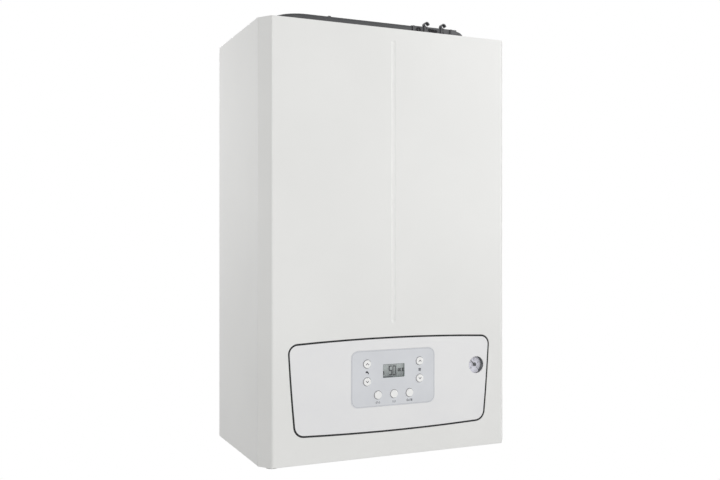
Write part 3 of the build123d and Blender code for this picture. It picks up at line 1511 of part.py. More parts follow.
def pump_plane(reach):
    """A plane square to the pump's axis, centred on it."""
    return Plane(origin=(pump_x, -reach, level(pump_height)), x_dir=(1, 0, 0), z_dir=(0, -1, 0))


with BuildPart() as pump_impeller:
    vane_back = chamber_back + pump_vane_gap
    vane_width = pump_chamber_width - 2 * pump_vane_gap
    with BuildSketch(pump_plane(vane_back + vane_width - pump_plate)):
        Circle(pump_impeller_radius)
    extrude(amount=pump_plate)
    with BuildSketch(pump_plane(vane_back)):
        Circle(pump_impeller_radius)
        Circle(pump_eye_radius, mode=Mode.SUBTRACT)
    extrude(amount=pump_shroud)
    with BuildSketch(pump_plane(vane_back + pump_shroud / 2)):
        with PolarLocations(0, pump_vane_count):
            SlotArc(vane_path, pump_vane_thickness)
    extrude(amount=vane_width - pump_shroud)
    with BuildSketch(pump_plane(vane_back + pump_vane_gap)):
        Circle(pump_hub_radius)
    extrude(amount=vane_width - pump_vane_gap)
    with BuildSketch(pump_plane(vane_back + vane_width)):
        Circle(shaft_radius)
    extrude(amount=pump_shaft_length)

with BuildPart() as safety_valve:
    with BuildSketch(Plane.XZ.offset(manifold_front_reach)):
        with Locations((safety_x, level(safety_height))):
            RegularPolygon(safety_radius, 6)
    extrude(amount=safety_nut)
    with BuildSketch(Plane.XZ.offset(manifold_front_reach + safety_nut)):
        with Locations((safety_x, level(safety_height))):
            Circle(safety_radius - stub_edge)
    extrude(amount=safety_length - safety_nut)
    with BuildSketch(Plane.XY.offset(level(safety_height))):
        with Locations((safety_x, -manifold_front_reach - safety_drain_reach)):
            Circle(safety_drain_radius)
    extrude(amount=-safety_drain_drop)
    with BuildSketch(Plane.XY.offset(level(safety_height - safety_drain_drop))):
        with Locations((safety_x, -manifold_front_reach - safety_drain_reach)):
            Circle(safety_drain_bore)
    extrude(amount=safety_drain_depth, mode=Mode.SUBTRACT)
    with BuildSketch(Plane.XZ.offset(manifold_front_reach + safety_length)):
        with Locations((safety_x, level(safety_height))):
            Circle(shaft_radius + shaft_fit)
    extrude(amount=-safety_stem_depth, mode=Mode.SUBTRACT)

with BuildPart() as safety_valve_knob:
    with BuildSketch(Plane.XZ.offset(manifold_front_reach + safety_length)):
        with Locations((safety_x, level(safety_height))):
            Circle(safety_radius)
    extrude(amount=safety_knob_length, taper=safety_knob_draft)
    fillet(safety_valve_knob.faces().sort_by(Axis.Y)[0].edges(), safety_knob_edge)
    with BuildSketch(Plane.XZ.offset(manifold_front_reach + safety_length)):
        with Locations((safety_x, level(safety_height))):
            with PolarLocations(safety_radius + knob_flute_shift, safety_flutes):
                Circle(safety_flute_radius)
    extrude(amount=safety_knob_length, mode=Mode.SUBTRACT)
    with BuildSketch(Plane.XZ.offset(manifold_front_reach + safety_length)):
        with Locations((safety_x, level(safety_height))):
            Circle(shaft_radius)
    extrude(amount=-safety_stem)

with BuildPart() as flow_pipe:
    riser_points = [(exchanger_left - boss_length, -riser_reach, level(riser_top)),
                    (riser_x, -riser_reach, level(riser_top)),
                    (riser_x, -riser_reach, level(manifold_top) + manifold_nut_height)]
    add(pipe(riser_points, pipe_radius, pipe_bend))

with BuildPart() as return_pipe:
    return_points = [(outlet_pipe_x, -pump_reach, level(pump_height + pump_outlet_rise + pump_nut_height)),
                     (outlet_pipe_x, -pump_reach, level(return_inlet_height)),
                     (exchanger_right + boss_length, -pump_reach, level(return_inlet_height))]
    add(pipe(return_points, pipe_radius, pipe_bend))

with BuildPart() as vessel_pipe:
    vessel_y = -(vessel_reach + vessel_thickness / 2)
    vessel_points = [(vessel_port_x, vessel_y, level(vessel_bottom - vessel_port_drop)),
                     (vessel_port_x, vessel_y, level(vessel_pipe_upper)),
                     (vessel_pipe_x, vessel_y, level(vessel_pipe_middle)),
                     (vessel_pipe_x, vessel_y, level(vessel_pipe_lower)),
                     (vessel_pipe_x, -manifold_back_reach, level(vessel_pipe_lower))]
    add(pipe(vessel_points, vessel_pipe_radius, vessel_pipe_bend))

with BuildPart() as ignition_lead:
    lead_start = electrode_x - electrode_half_pitch
    electrode_z = level(exchanger_top - electrode_drop)
    lead_end_y = -gas_valve_reach - lead_end_shift
    lead_end_z = level(gas_valve_bottom + lead_end_rise)
    lead_points = [(lead_start, -electrode_reach, electrode_z),
                   (lead_start, -electrode_reach - lead_front, electrode_z),
                   *[(x, -electrode_reach + inward, level(height)) for x, inward, height in lead_route],
                   (lead_end_x, lead_end_y, lead_end_z),
                   (gas_valve_x - gas_valve_size / 2, lead_end_y, lead_end_z)]
    add(pipe(lead_points, lead_radius, lead_bends))

# --- Dashboard ------------------------------------------------------------------------------------

with BuildPart() as panel_gasket:
    extrude(panel_face(panel_line / 2 - panel_gap, casing_depth - gasket_sink), amount=-gasket_depth)
    extrude(panel_face(-panel_line / 2, casing_depth - gasket_sink), amount=-gasket_depth, mode=Mode.SUBTRACT)

with BuildPart() as dashboard_fascia:
    extrude(panel_face(-panel_line / 2, casing_depth), amount=-fascia_skin)
    extrude(panel_face(-panel_line / 2, skin_reach), amount=-fascia_rim_depth)
    extrude(panel_face(-panel_line / 2 - fascia_rim, skin_reach), amount=-fascia_rim_depth,
            mode=Mode.SUBTRACT)
    # the rim is open where the hinge arms and lugs pass
    with BuildSketch(Plane.XZ.offset(skin_reach)):
        with Locations((hinge_lug_x + lug_slot_shift, level(panel_bottom_height + lug_slot_shift)),
                       (-hinge_lug_x - lug_slot_shift, level(panel_bottom_height + lug_slot_shift))):
            Rectangle(lug_slot_width, lug_slot_height)
    extrude(amount=-fascia_rim_depth, mode=Mode.SUBTRACT)
    with BuildSketch(Plane.XZ.offset(casing_depth)):
        with Locations((0, level((keypad_top + keypad_bottom) / 2))):
            RectangleRounded(2 * (keypad_half_width + keypad_fit),
                             keypad_top - keypad_bottom + 2 * keypad_fit,
                             keypad_corner)
    extrude(amount=-keypad_recess, mode=Mode.SUBTRACT)
    with BuildSketch(Plane.XZ.offset(casing_depth)):
        with Locations(*[(x, level(height)) for x, height in button_places.values()]):
            Circle(button_radius + button_gap)
        with Locations((0, level(display_mid))):
            Rectangle(display_width + 2 * (display_lip + keypad_fit),
                      display_height + 2 * (display_lip + keypad_fit))
        with Locations((gauge_x, level(gauge_height))):
            Circle(gauge_window_radius)
    extrude(amount=-fascia_skin, mode=Mode.SUBTRACT)
    with BuildSketch(Plane.XZ.offset(skin_reach)):
        with Locations((gauge_x, level(gauge_height))):
            Circle(gauge_glass_radius + gauge_glass_fit)
    extrude(amount=gauge_glass_thickness, mode=Mode.SUBTRACT)
    for lug_left in (hinge_lug_x - hinge_lug_thickness / 2, -hinge_lug_x - hinge_lug_thickness / 2):
        with BuildSketch(Plane.YZ.offset(lug_left)):
            with Locations((-tilt_reach, level(tilt_axis_height))):
                Circle(hinge_lug_radius)
                with Locations((-hinge_lug_radius / 2, lug_root_rise)):
                    Rectangle(hinge_lug_radius, 2 * hinge_lug_radius)
            with Locations((-tilt_reach, level(tilt_axis_height))):
                Circle(hinge_pin_radius + hinge_fit, mode=Mode.SUBTRACT)
        extrude(amount=hinge_lug_thickness)

with BuildPart() as hinge_pins:
    for side in (-1, 1):
        pin_start = side * (hinge_lug_x - hinge_lug_thickness / 2)
        pin_end = side * (arm_x + hinge_arm_thickness)
        with BuildSketch(Plane.YZ.offset(pin_start)):
            with Locations((-tilt_reach, level(tilt_axis_height))):
                Circle(hinge_pin_radius)
        extrude(amount=pin_end - pin_start)
        with BuildSketch(Plane.YZ.offset(pin_end)):
            with Locations((-tilt_reach, level(tilt_axis_height))):
                Circle(hinge_pin_radius + pin_head_lip)
        extrude(amount=side * pin_head)

with BuildPart() as keypad_overlay:
    with BuildSketch(Plane.XZ.offset(casing_depth - keypad_recess)):
        with Locations((0, level((keypad_top + keypad_bottom) / 2))):
            RectangleRounded(2 * keypad_half_width, keypad_top - keypad_bottom, keypad_corner - keypad_fit)
        with Locations(*[(x, level(height)) for x, height in button_places.values()]):
            Circle(button_radius + button_gap, mode=Mode.SUBTRACT)
        with Locations((0, level(display_mid))):
            RectangleRounded(display_width, display_height, display_corner, mode=Mode.SUBTRACT)
    extrude(amount=keypad_thickness)

with BuildPart() as display_window:
    with BuildSketch(Plane.XZ.offset(casing_depth - keypad_recess)):
        with Locations((0, level(display_mid))):
            Rectangle(display_width + 2 * display_lip, display_height + 2 * display_lip)
    extrude(amount=-display_glass)
    with BuildSketch(Plane.XZ.offset(casing_depth - keypad_recess)):
        with Locations((0, level(display_mid))):
            RectangleRounded(display_width - 2 * display_fit, display_height - 2 * display_fit,
                             display_corner - display_fit)
    extrude(amount=keypad_thickness - display_sink)


def push_button(x, height):
    """A round cap with its retaining flange and stem."""
    with BuildPart() as button:
        cap_front = casing_depth - keypad_recess + keypad_thickness + button_proud
        with BuildSketch(Plane.XZ.offset(skin_reach)):
            with Locations((x, level(height))):
                Circle(button_radius)
        extrude(amount=cap_front - skin_reach)
        fillet(button.faces().sort_by(Axis.Y)[0].edges(), button_edge)
        with BuildSketch(Plane.XZ.offset(skin_reach)):
            with Locations((x, level(height))):
                Circle(button_flange_radius)
        extrude(amount=-button_flange)
        with BuildSketch(Plane.XZ.offset(skin_reach)):
            with Locations((x, level(height))):
                Circle(button_stem_radius)
        extrude(amount=-(skin_reach - switch_face - button_travel - button_stop_gap))
    return button.part


buttons = {name: push_button(*place) for name, place in button_places.items()}

with BuildPart() as control_box:
    with BuildSketch(Plane.XZ.offset(skin_reach)):
        with Locations((0, level((box_top + box_bottom) / 2))):
            RectangleRounded(2 * box_half_width, box_top - box_bottom, box_corner)
    extrude(amount=-box_depth)
    fillet(control_box.faces().sort_by(Axis.Y)[-1].edges(), box_edge)
    with BuildSketch(Plane.XZ.offset(skin_reach)):
        with Locations((0, level((box_top + box_bottom) / 2))):
            RectangleRounded(2 * (box_half_width - box_wall), box_top - box_bottom - 2 * box_wall,
                             box_corner - box_wall)
    extrude(amount=-box_depth + box_wall, mode=Mode.SUBTRACT)
    # posts carry the board, slots let the cables out
    with BuildSketch(Plane.XZ.offset(board_reach - board_thickness)):
        with GridLocations(2 * (board_half_width - box_post_inset), 1, 2, 1):
            with Locations((0, level(board_bottom + box_post_inset)), (0, level(board_top - box_post_inset))):
                Circle(box_post_radius)
    extrude(amount=-(board_reach - board_thickness - box_back_reach))
    with BuildSketch(Plane.XZ.offset(box_back_reach)):
        with GridLocations(cable_slot_pitch, 1, cable_slot_count, 1):
            with Locations((0, level(box_bottom + cable_slot_rise))):
                SlotOverall(cable_slot_length, cable_slot_width)
    extrude(amount=box_wall, mode=Mode.SUBTRACT)
    with BuildSketch(Plane.XZ.offset(box_back_reach)):
        with GridLocations(box_rib_pitch, 1, box_rib_count, 1):
            with Locations((0, level(box_top - box_rib_drop))):
                Rectangle(box_rib_width, box_rib_length)
    extrude(amount=-box_rib_height)

with BuildPart() as circuit_board:
    with BuildSketch(Plane.XZ.offset(board_reach)):
        with Locations((0, level((board_top + board_bottom) / 2))):
            Rectangle(2 * board_half_width, board_top - board_bottom)
    extrude(amount=-board_thickness)
    with BuildSketch(Plane.XZ.offset(board_reach)):
        with Locations(*[(x, level(height)) for x, height in button_places.values()]):
            Rectangle(switch_size, switch_size)
    extrude(amount=switch_height)
    with BuildSketch(Plane.XZ.offset(board_reach)):
        with Locations(*[(x, level(height)) for x, height in button_places.values()]):
            Circle(switch_plunger_radius)
    extrude(amount=switch_face - board_reach)
    with BuildSketch(Plane.XZ.offset(board_reach)):
        with Locations((0, level(display_mid))):
            Rectangle(display_width + 2 * display_module_lip, display_height + 2 * display_module_lip)
    extrude(amount=casing_depth - keypad_recess - display_glass - board_reach - 2 * display_fit)
    # transformer, relays and plug sockets on the back
    with BuildSketch(Plane.XZ.offset(board_reach - board_thickness)):
        with Locations((transformer_x, level(transformer_height))):
            Rectangle(transformer_width, transformer_length)
    extrude(amount=-transformer_depth)
    with BuildSketch(Plane.XZ.offset(board_reach - board_thickness)):
        with GridLocations(relay_pitch, 1, relay_count, 1):
            with Locations((relay_x, level(relay_height))):
                Rectangle(relay_width, relay_length)
    extrude(amount=-relay_depth)
    with BuildSketch(Plane.XZ.offset(board_reach - board_thickness)):
        with GridLocations(cable_slot_pitch, 1, cable_slot_count, 1):
            with Locations((0, level(box_bottom + cable_slot_rise))):
                Rectangle(socket_width, socket_length)
    extrude(amount=-socket_depth)
    with BuildSketch(Plane.XZ.offset(board_reach - board_thickness)):
        with Locations(*[(x, level(height)) for x, height in capacitor_places]):
            Circle(capacitor_radius)
    extrude(amount=-capacitor_length)

gauge_z = level(gauge_height)
dial_reach = skin_reach - gauge_dial_depth

with BuildPart() as gauge_glass:
    with BuildSketch(Plane.XZ.offset(skin_reach)):
        with Locations((gauge_x, gauge_z)):
            Circle(gauge_glass_radius)
    extrude(amount=gauge_glass_thickness)

with BuildPart() as gauge_body:
    with BuildSketch(Plane.XZ.offset(skin_reach)):
        with Locations((gauge_x, gauge_z)):
            Circle(gauge_body_radius)
    extrude(amount=-gauge_body_depth)
    chamfer(gauge_body.faces().sort_by(Axis.Y)[-1].edges(), gauge_edge)
    with BuildSketch(Plane.XZ.offset(skin_reach)):
        with Locations((gauge_x, gauge_z)):
            Circle(gauge_bore_radius)
    extrude(amount=-gauge_dial_depth, mode=Mode.SUBTRACT)
    with BuildSketch(Plane.XZ.offset(dial_reach)):
        with Locations((gauge_x, gauge_z)):
            Circle(needle_spindle_radius + needle_fit)
    extrude(amount=-gauge_spindle_bore, mode=Mode.SUBTRACT)
    with BuildSketch(Plane.XZ.offset(skin_reach - gauge_body_depth)):
        with Locations((gauge_x, gauge_z)):
            Circle(gauge_inlet_radius)
    extrude(amount=-gauge_inlet_length)

with BuildPart() as gauge_needle:
    along = (cos(radians(needle_angle)), sin(radians(needle_angle)))
    across = (-along[1] * needle_half_width, along[0] * needle_half_width)
    tip = (gauge_x + along[0] * needle_length, gauge_z + along[1] * needle_length)
    tail = (gauge_x - along[0] * needle_tail, gauge_z - along[1] * needle_tail)
    with BuildSketch(Plane.XZ.offset(dial_reach + needle_lift)):
        with BuildLine():
            Polyline((tail[0] - across[0], tail[1] - across[1]), (tail[0] + across[0], tail[1] + across[1]),
                     (tip[0] + across[0] * needle_taper, tip[1] + across[1] * needle_taper),
                     (tip[0] - across[0] * needle_taper, tip[1] - across[1] * needle_taper), close=True)
        make_face()
        with Locations((gauge_x, gauge_z)):
            Circle(needle_hub_radius)
    extrude(amount=needle_thickness)
    with BuildSketch(Plane.XZ.offset(dial_reach + needle_hub_lift)):
        with Locations((gauge_x, gauge_z)):
            Circle(needle_cap_radius)
    extrude(amount=needle_hub_length)
    with BuildSketch(Plane.XZ.offset(dial_reach + needle_spindle_root)):
        with Locations((gauge_x, gauge_z)):
            Circle(needle_spindle_radius)
    extrude(amount=-needle_spindle_depth)

# --- Files ----------------------------------------------------------------------------------------

pieces = {
    "rear_frame": rear_frame.part,
    "left_side_panel": left_side_panel.part,
    "right_side_panel": right_side_panel.part,
    "top_panel": top_panel.part,
    "bottom_plate": bottom_plate.part,
    "front_cover": front_cover.part,
    "casing_screws": casing_screws.part,
    "pipe_grommets": pipe_grommets.part,
    "top_hood": top_hood.part,
    "cable_bracket": cable_bracket.part,
    "flue_adaptor": flue_adaptor.part,
    "flue_duct": flue_duct.part,
    "expansion_vessel": expansion_vessel.part,
    "vessel_pipe": vessel_pipe.part,
    "heat_exchanger": heat_exchanger.part,
    "burner_door": burner_door.part,
    "burner": burner.part,
    "ignition_electrode": ignition_electrode.part,
    "ignition_lead": ignition_lead.part,
    "condensate_sump": condensate_sump.part,
    "condensate_trap": condensate_trap.part,
    "fan_housing": fan_housing.part,
    "fan_motor": fan_motor.part,
    "fan_impeller": fan_impeller.part,
    "gas_air_mixer": gas_air_mixer.part,
    "air_silencer": air_silencer.part,
    "gas_valve": gas_valve.part,
    "gas_pipe": gas_pipe.part,
    "gas_feed_pipe": gas_feed_pipe.part,
    "flow_pipe": flow_pipe.part,
    "return_pipe": return_pipe.part,
    "flow_manifold": flow_manifold.part,
    "return_manifold": return_manifold.part,
    "filling_tap": filling_tap.part,
    "plate_heat_exchanger": plate_heat_exchanger.part,
    "diverter_actuator": diverter_actuator.part,
    "diverter_spindle": diverter_spindle.part,
    "pump_body": pump_body.part,
    "pump_motor": pump_motor.part,
    "pump_impeller": pump_impeller.part,
    "safety_valve": safety_valve.part,
    "safety_valve_knob": safety_valve_knob.part,
    "hinge_pins": hinge_pins.part,
    "panel_gasket": panel_gasket.part,
    "dashboard_fascia": dashboard_fascia.part,
    "keypad_overlay": keypad_overlay.part,
    "display_window": display_window.part,
    "control_box": control_box.part,
    "circuit_board": circuit_board.part,
    "gauge_body": gauge_body.part,
    "gauge_glass": gauge_glass.part,
    "gauge_needle": gauge_needle.part,
    **buttons,
}

os.makedirs("parts", exist_ok=True)
for label, piece in pieces.items():
    piece.label = label
    export_step(piece, f"parts/{label}.step")
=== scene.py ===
import json
from math import atan2, cos, hypot, pi, radians, sin
import bmesh
import bpy
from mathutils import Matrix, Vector

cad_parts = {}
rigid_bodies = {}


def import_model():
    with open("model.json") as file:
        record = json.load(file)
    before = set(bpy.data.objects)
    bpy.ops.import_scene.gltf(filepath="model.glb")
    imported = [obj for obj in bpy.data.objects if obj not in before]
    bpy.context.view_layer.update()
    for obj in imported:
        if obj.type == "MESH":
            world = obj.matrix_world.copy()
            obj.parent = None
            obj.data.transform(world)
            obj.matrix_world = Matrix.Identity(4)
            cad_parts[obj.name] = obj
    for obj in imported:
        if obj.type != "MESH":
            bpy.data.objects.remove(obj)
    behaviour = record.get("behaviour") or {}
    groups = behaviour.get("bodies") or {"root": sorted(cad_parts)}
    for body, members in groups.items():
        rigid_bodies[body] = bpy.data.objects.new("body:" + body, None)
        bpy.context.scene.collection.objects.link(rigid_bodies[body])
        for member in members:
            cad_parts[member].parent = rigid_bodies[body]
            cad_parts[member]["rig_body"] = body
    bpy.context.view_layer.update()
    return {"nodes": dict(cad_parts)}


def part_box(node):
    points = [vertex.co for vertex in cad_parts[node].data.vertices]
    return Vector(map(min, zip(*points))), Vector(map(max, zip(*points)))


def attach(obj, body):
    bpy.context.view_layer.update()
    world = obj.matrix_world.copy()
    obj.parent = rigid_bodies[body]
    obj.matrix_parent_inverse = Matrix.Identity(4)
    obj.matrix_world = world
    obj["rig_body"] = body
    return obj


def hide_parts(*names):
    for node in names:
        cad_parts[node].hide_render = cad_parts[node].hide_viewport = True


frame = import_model()
nodes = frame["nodes"]
mm = 0.001
baseZ = -0.655  # bottom edge of the casing
facingFront = (radians(90), 0, 0)
print("frame loaded,", len(nodes), "nodes")

# camera at the photograph's viewing angle
view = {"place": (-0.6311, -1.5311, -0.30195), "turn": 24.07, "lens": 43.39, "sensor": 36}
cameraData = bpy.data.cameras.new("photoCamera")
cameraData.lens = view["lens"]
cameraData.sensor_width = view["sensor"]
camera = bpy.data.objects.new("photoCamera", cameraData)
camera.location = view["place"]
camera.rotation_euler = (radians(90), 0, -radians(view["turn"]))
bpy.context.collection.objects.link(camera)
bpy.context.scene.camera = camera
bpy.context.scene.view_settings.view_transform = "Standard"


def linear(hexColour):
    # sRGB hex to linear, with full opacity
    channels = [int(hexColour[i:i + 2], 16) / 255 for i in (1, 3, 5)]
    return tuple(c / 12.92 if c <= 0.04045 else ((c + 0.055) / 1.055) ** 2.4 for c in channels) + (1.0,)


def addNode(tree, kind, settings=None, links=None):
    # one node with its settings (sockets or properties) and the sockets that feed it
    node = tree.nodes.new(kind)
    for key, value in (settings or {}).items():
        if isinstance(key, int) or key in node.inputs:
            node.inputs[key].default_value = value
        else:
            setattr(node, key, value)
    for key, source in (links or {}).items():
        tree.links.new(source, node.inputs[key])
    return node


# what a finish has where its own entry says nothing; sizes are in metres
plainLook = {"patchSize": 0.12, "roughSpread": 0.04, "bump": 0.3, "bumpHeight": 0.0001, "metallic": 0.0, "ior": 1.5,
             "coat": 0.0, "coatRoughness": 0.1, "alpha": 1.0, "patchDetail": 3.0, "patchRoughness": 0.55,
             "patchSpan": (0.35, 0.65), "grainDetail": 2.0, "grainLift": 0.4, "wearSpan": (0.52, 0.60)}


def makeSurface(name, ownLook):
    look = {**plainLook, **ownLook}
    material = bpy.data.materials.new(name)
    material.use_nodes = True
    tree = material.node_tree
    tree.nodes.clear()
    ownPlace = addNode(tree, "ShaderNodeTexCoord").outputs["Object"]
    place = ownPlace
    if "stretch" in look:  # lines instead of spots: the pattern is drawn out along one axis
        place = addNode(tree, "ShaderNodeVectorMath", {"operation": "MULTIPLY", 1: look["stretch"]},
                        {0: ownPlace}).outputs[0]
    # slow change of tone across the piece
    patches = addNode(tree, "ShaderNodeTexNoise",
                      {"Scale": 1 / look["patchSize"], "Detail": look["patchDetail"],
                       "Roughness": look["patchRoughness"]}, {"Vector": place})
    tone = addNode(tree, "ShaderNodeValToRGB", None, {0: patches.outputs["Fac"]})
    ends = zip(tone.color_ramp.elements, look["patchSpan"], (look["shade"], look["colour"]))
    for element, position, ownColour in ends:
        element.position = position
        element.color = linear(ownColour)
    colour = tone.outputs[0]
    # fine grain: pores, orange peel, spangles or brush lines
    if look.get("cells"):
        cells = addNode(tree, "ShaderNodeTexVoronoi", {"Scale": 1 / look["grainSize"]}, {"Vector": place})
        grain = addNode(tree, "ShaderNodeSeparateColor", None, {0: cells.outputs["Color"]}).outputs[0]
    else:
        grain = addNode(tree, "ShaderNodeTexNoise", {"Scale": 1 / look["grainSize"], "Detail": look["grainDetail"]},
                        {"Vector": place}).outputs["Fac"]
    if "grainTone" in look:  # the grain also shows in the colour
        depth = look["grainTone"]
        lift = addNode(tree, "ShaderNodeMapRange", {"To Min": 1 - depth, "To Max": 1 + depth * look["grainLift"]},
                       {"Value": grain}).outputs[0]
        colour = addNode(tree, "ShaderNodeVectorMath", {"operation": "MULTIPLY"}, {0: colour, 1: lift}).outputs[0]
    overlays = []
    if "fade" in look:  # painted light: another colour from the lower to the upper height, standing in for light that falls from above
        height = addNode(tree, "ShaderNodeSeparateXYZ", None, {0: ownPlace}).outputs[2]
        overlays.append((height, look["fade"], 1.0, look["fadeColour"]))
    if "wear" in look:  # rubbed bare on the outer edges
        edge = addNode(tree, "ShaderNodeNewGeometry").outputs["Pointiness"]
        overlays.append((edge, look["wearSpan"], look["wear"], look["wearColour"]))
    for source, (low, high), most, other in overlays:
        share = addNode(tree, "ShaderNodeMapRange", {"From Min": low, "From Max": high, "To Max": most},
                        {"Value": source}).outputs[0]
        colour = addNode(tree, "ShaderNodeMix", {"data_type": "RGBA", 7: linear(other)},
                         {0: share, 6: colour}).outputs[2]
    rough = addNode(tree, "ShaderNodeMapRange",
                    {"To Min": look["roughness"] - look["roughSpread"],
                     "To Max": look["roughness"] + look["roughSpread"]}, {"Value": grain})
    bump = addNode(tree, "ShaderNodeBump", {"Strength": look["bump"], "Distance": look["bumpHeight"]},
                   {"Height": grain})
    shader = addNode(tree, "ShaderNodeBsdfPrincipled",
                     {"Metallic": look["metallic"], "Coat Weight": look["coat"],
                      "Coat Roughness": look["coatRoughness"], "Alpha": look["alpha"]},
                     {"Base Color": colour, "Roughness": rough.outputs[0], "Normal": bump.outputs[0]})
    if not look["metallic"]:  # a metal keeps the default
        shader.inputs["IOR"].default_value = look["ior"]
    addNode(tree, "ShaderNodeOutputMaterial", None, {0: shader.outputs[0]})
    return material


# what the inks share, and what the two knobs share
inkFilm = {"patchSize": 0.003, "grainSize": 0.0003, "roughness": 0.55, "roughSpread": 0.05, "bump": 0.05,
           "bumpHeight": 0.00001}
knobAbs = {"patchSize": 0.02, "grainSize": 0.0007, "roughness": 0.30, "roughSpread": 0.04, "bump": 0.08,
           "bumpHeight": 0.00004, "ior": 1.53}

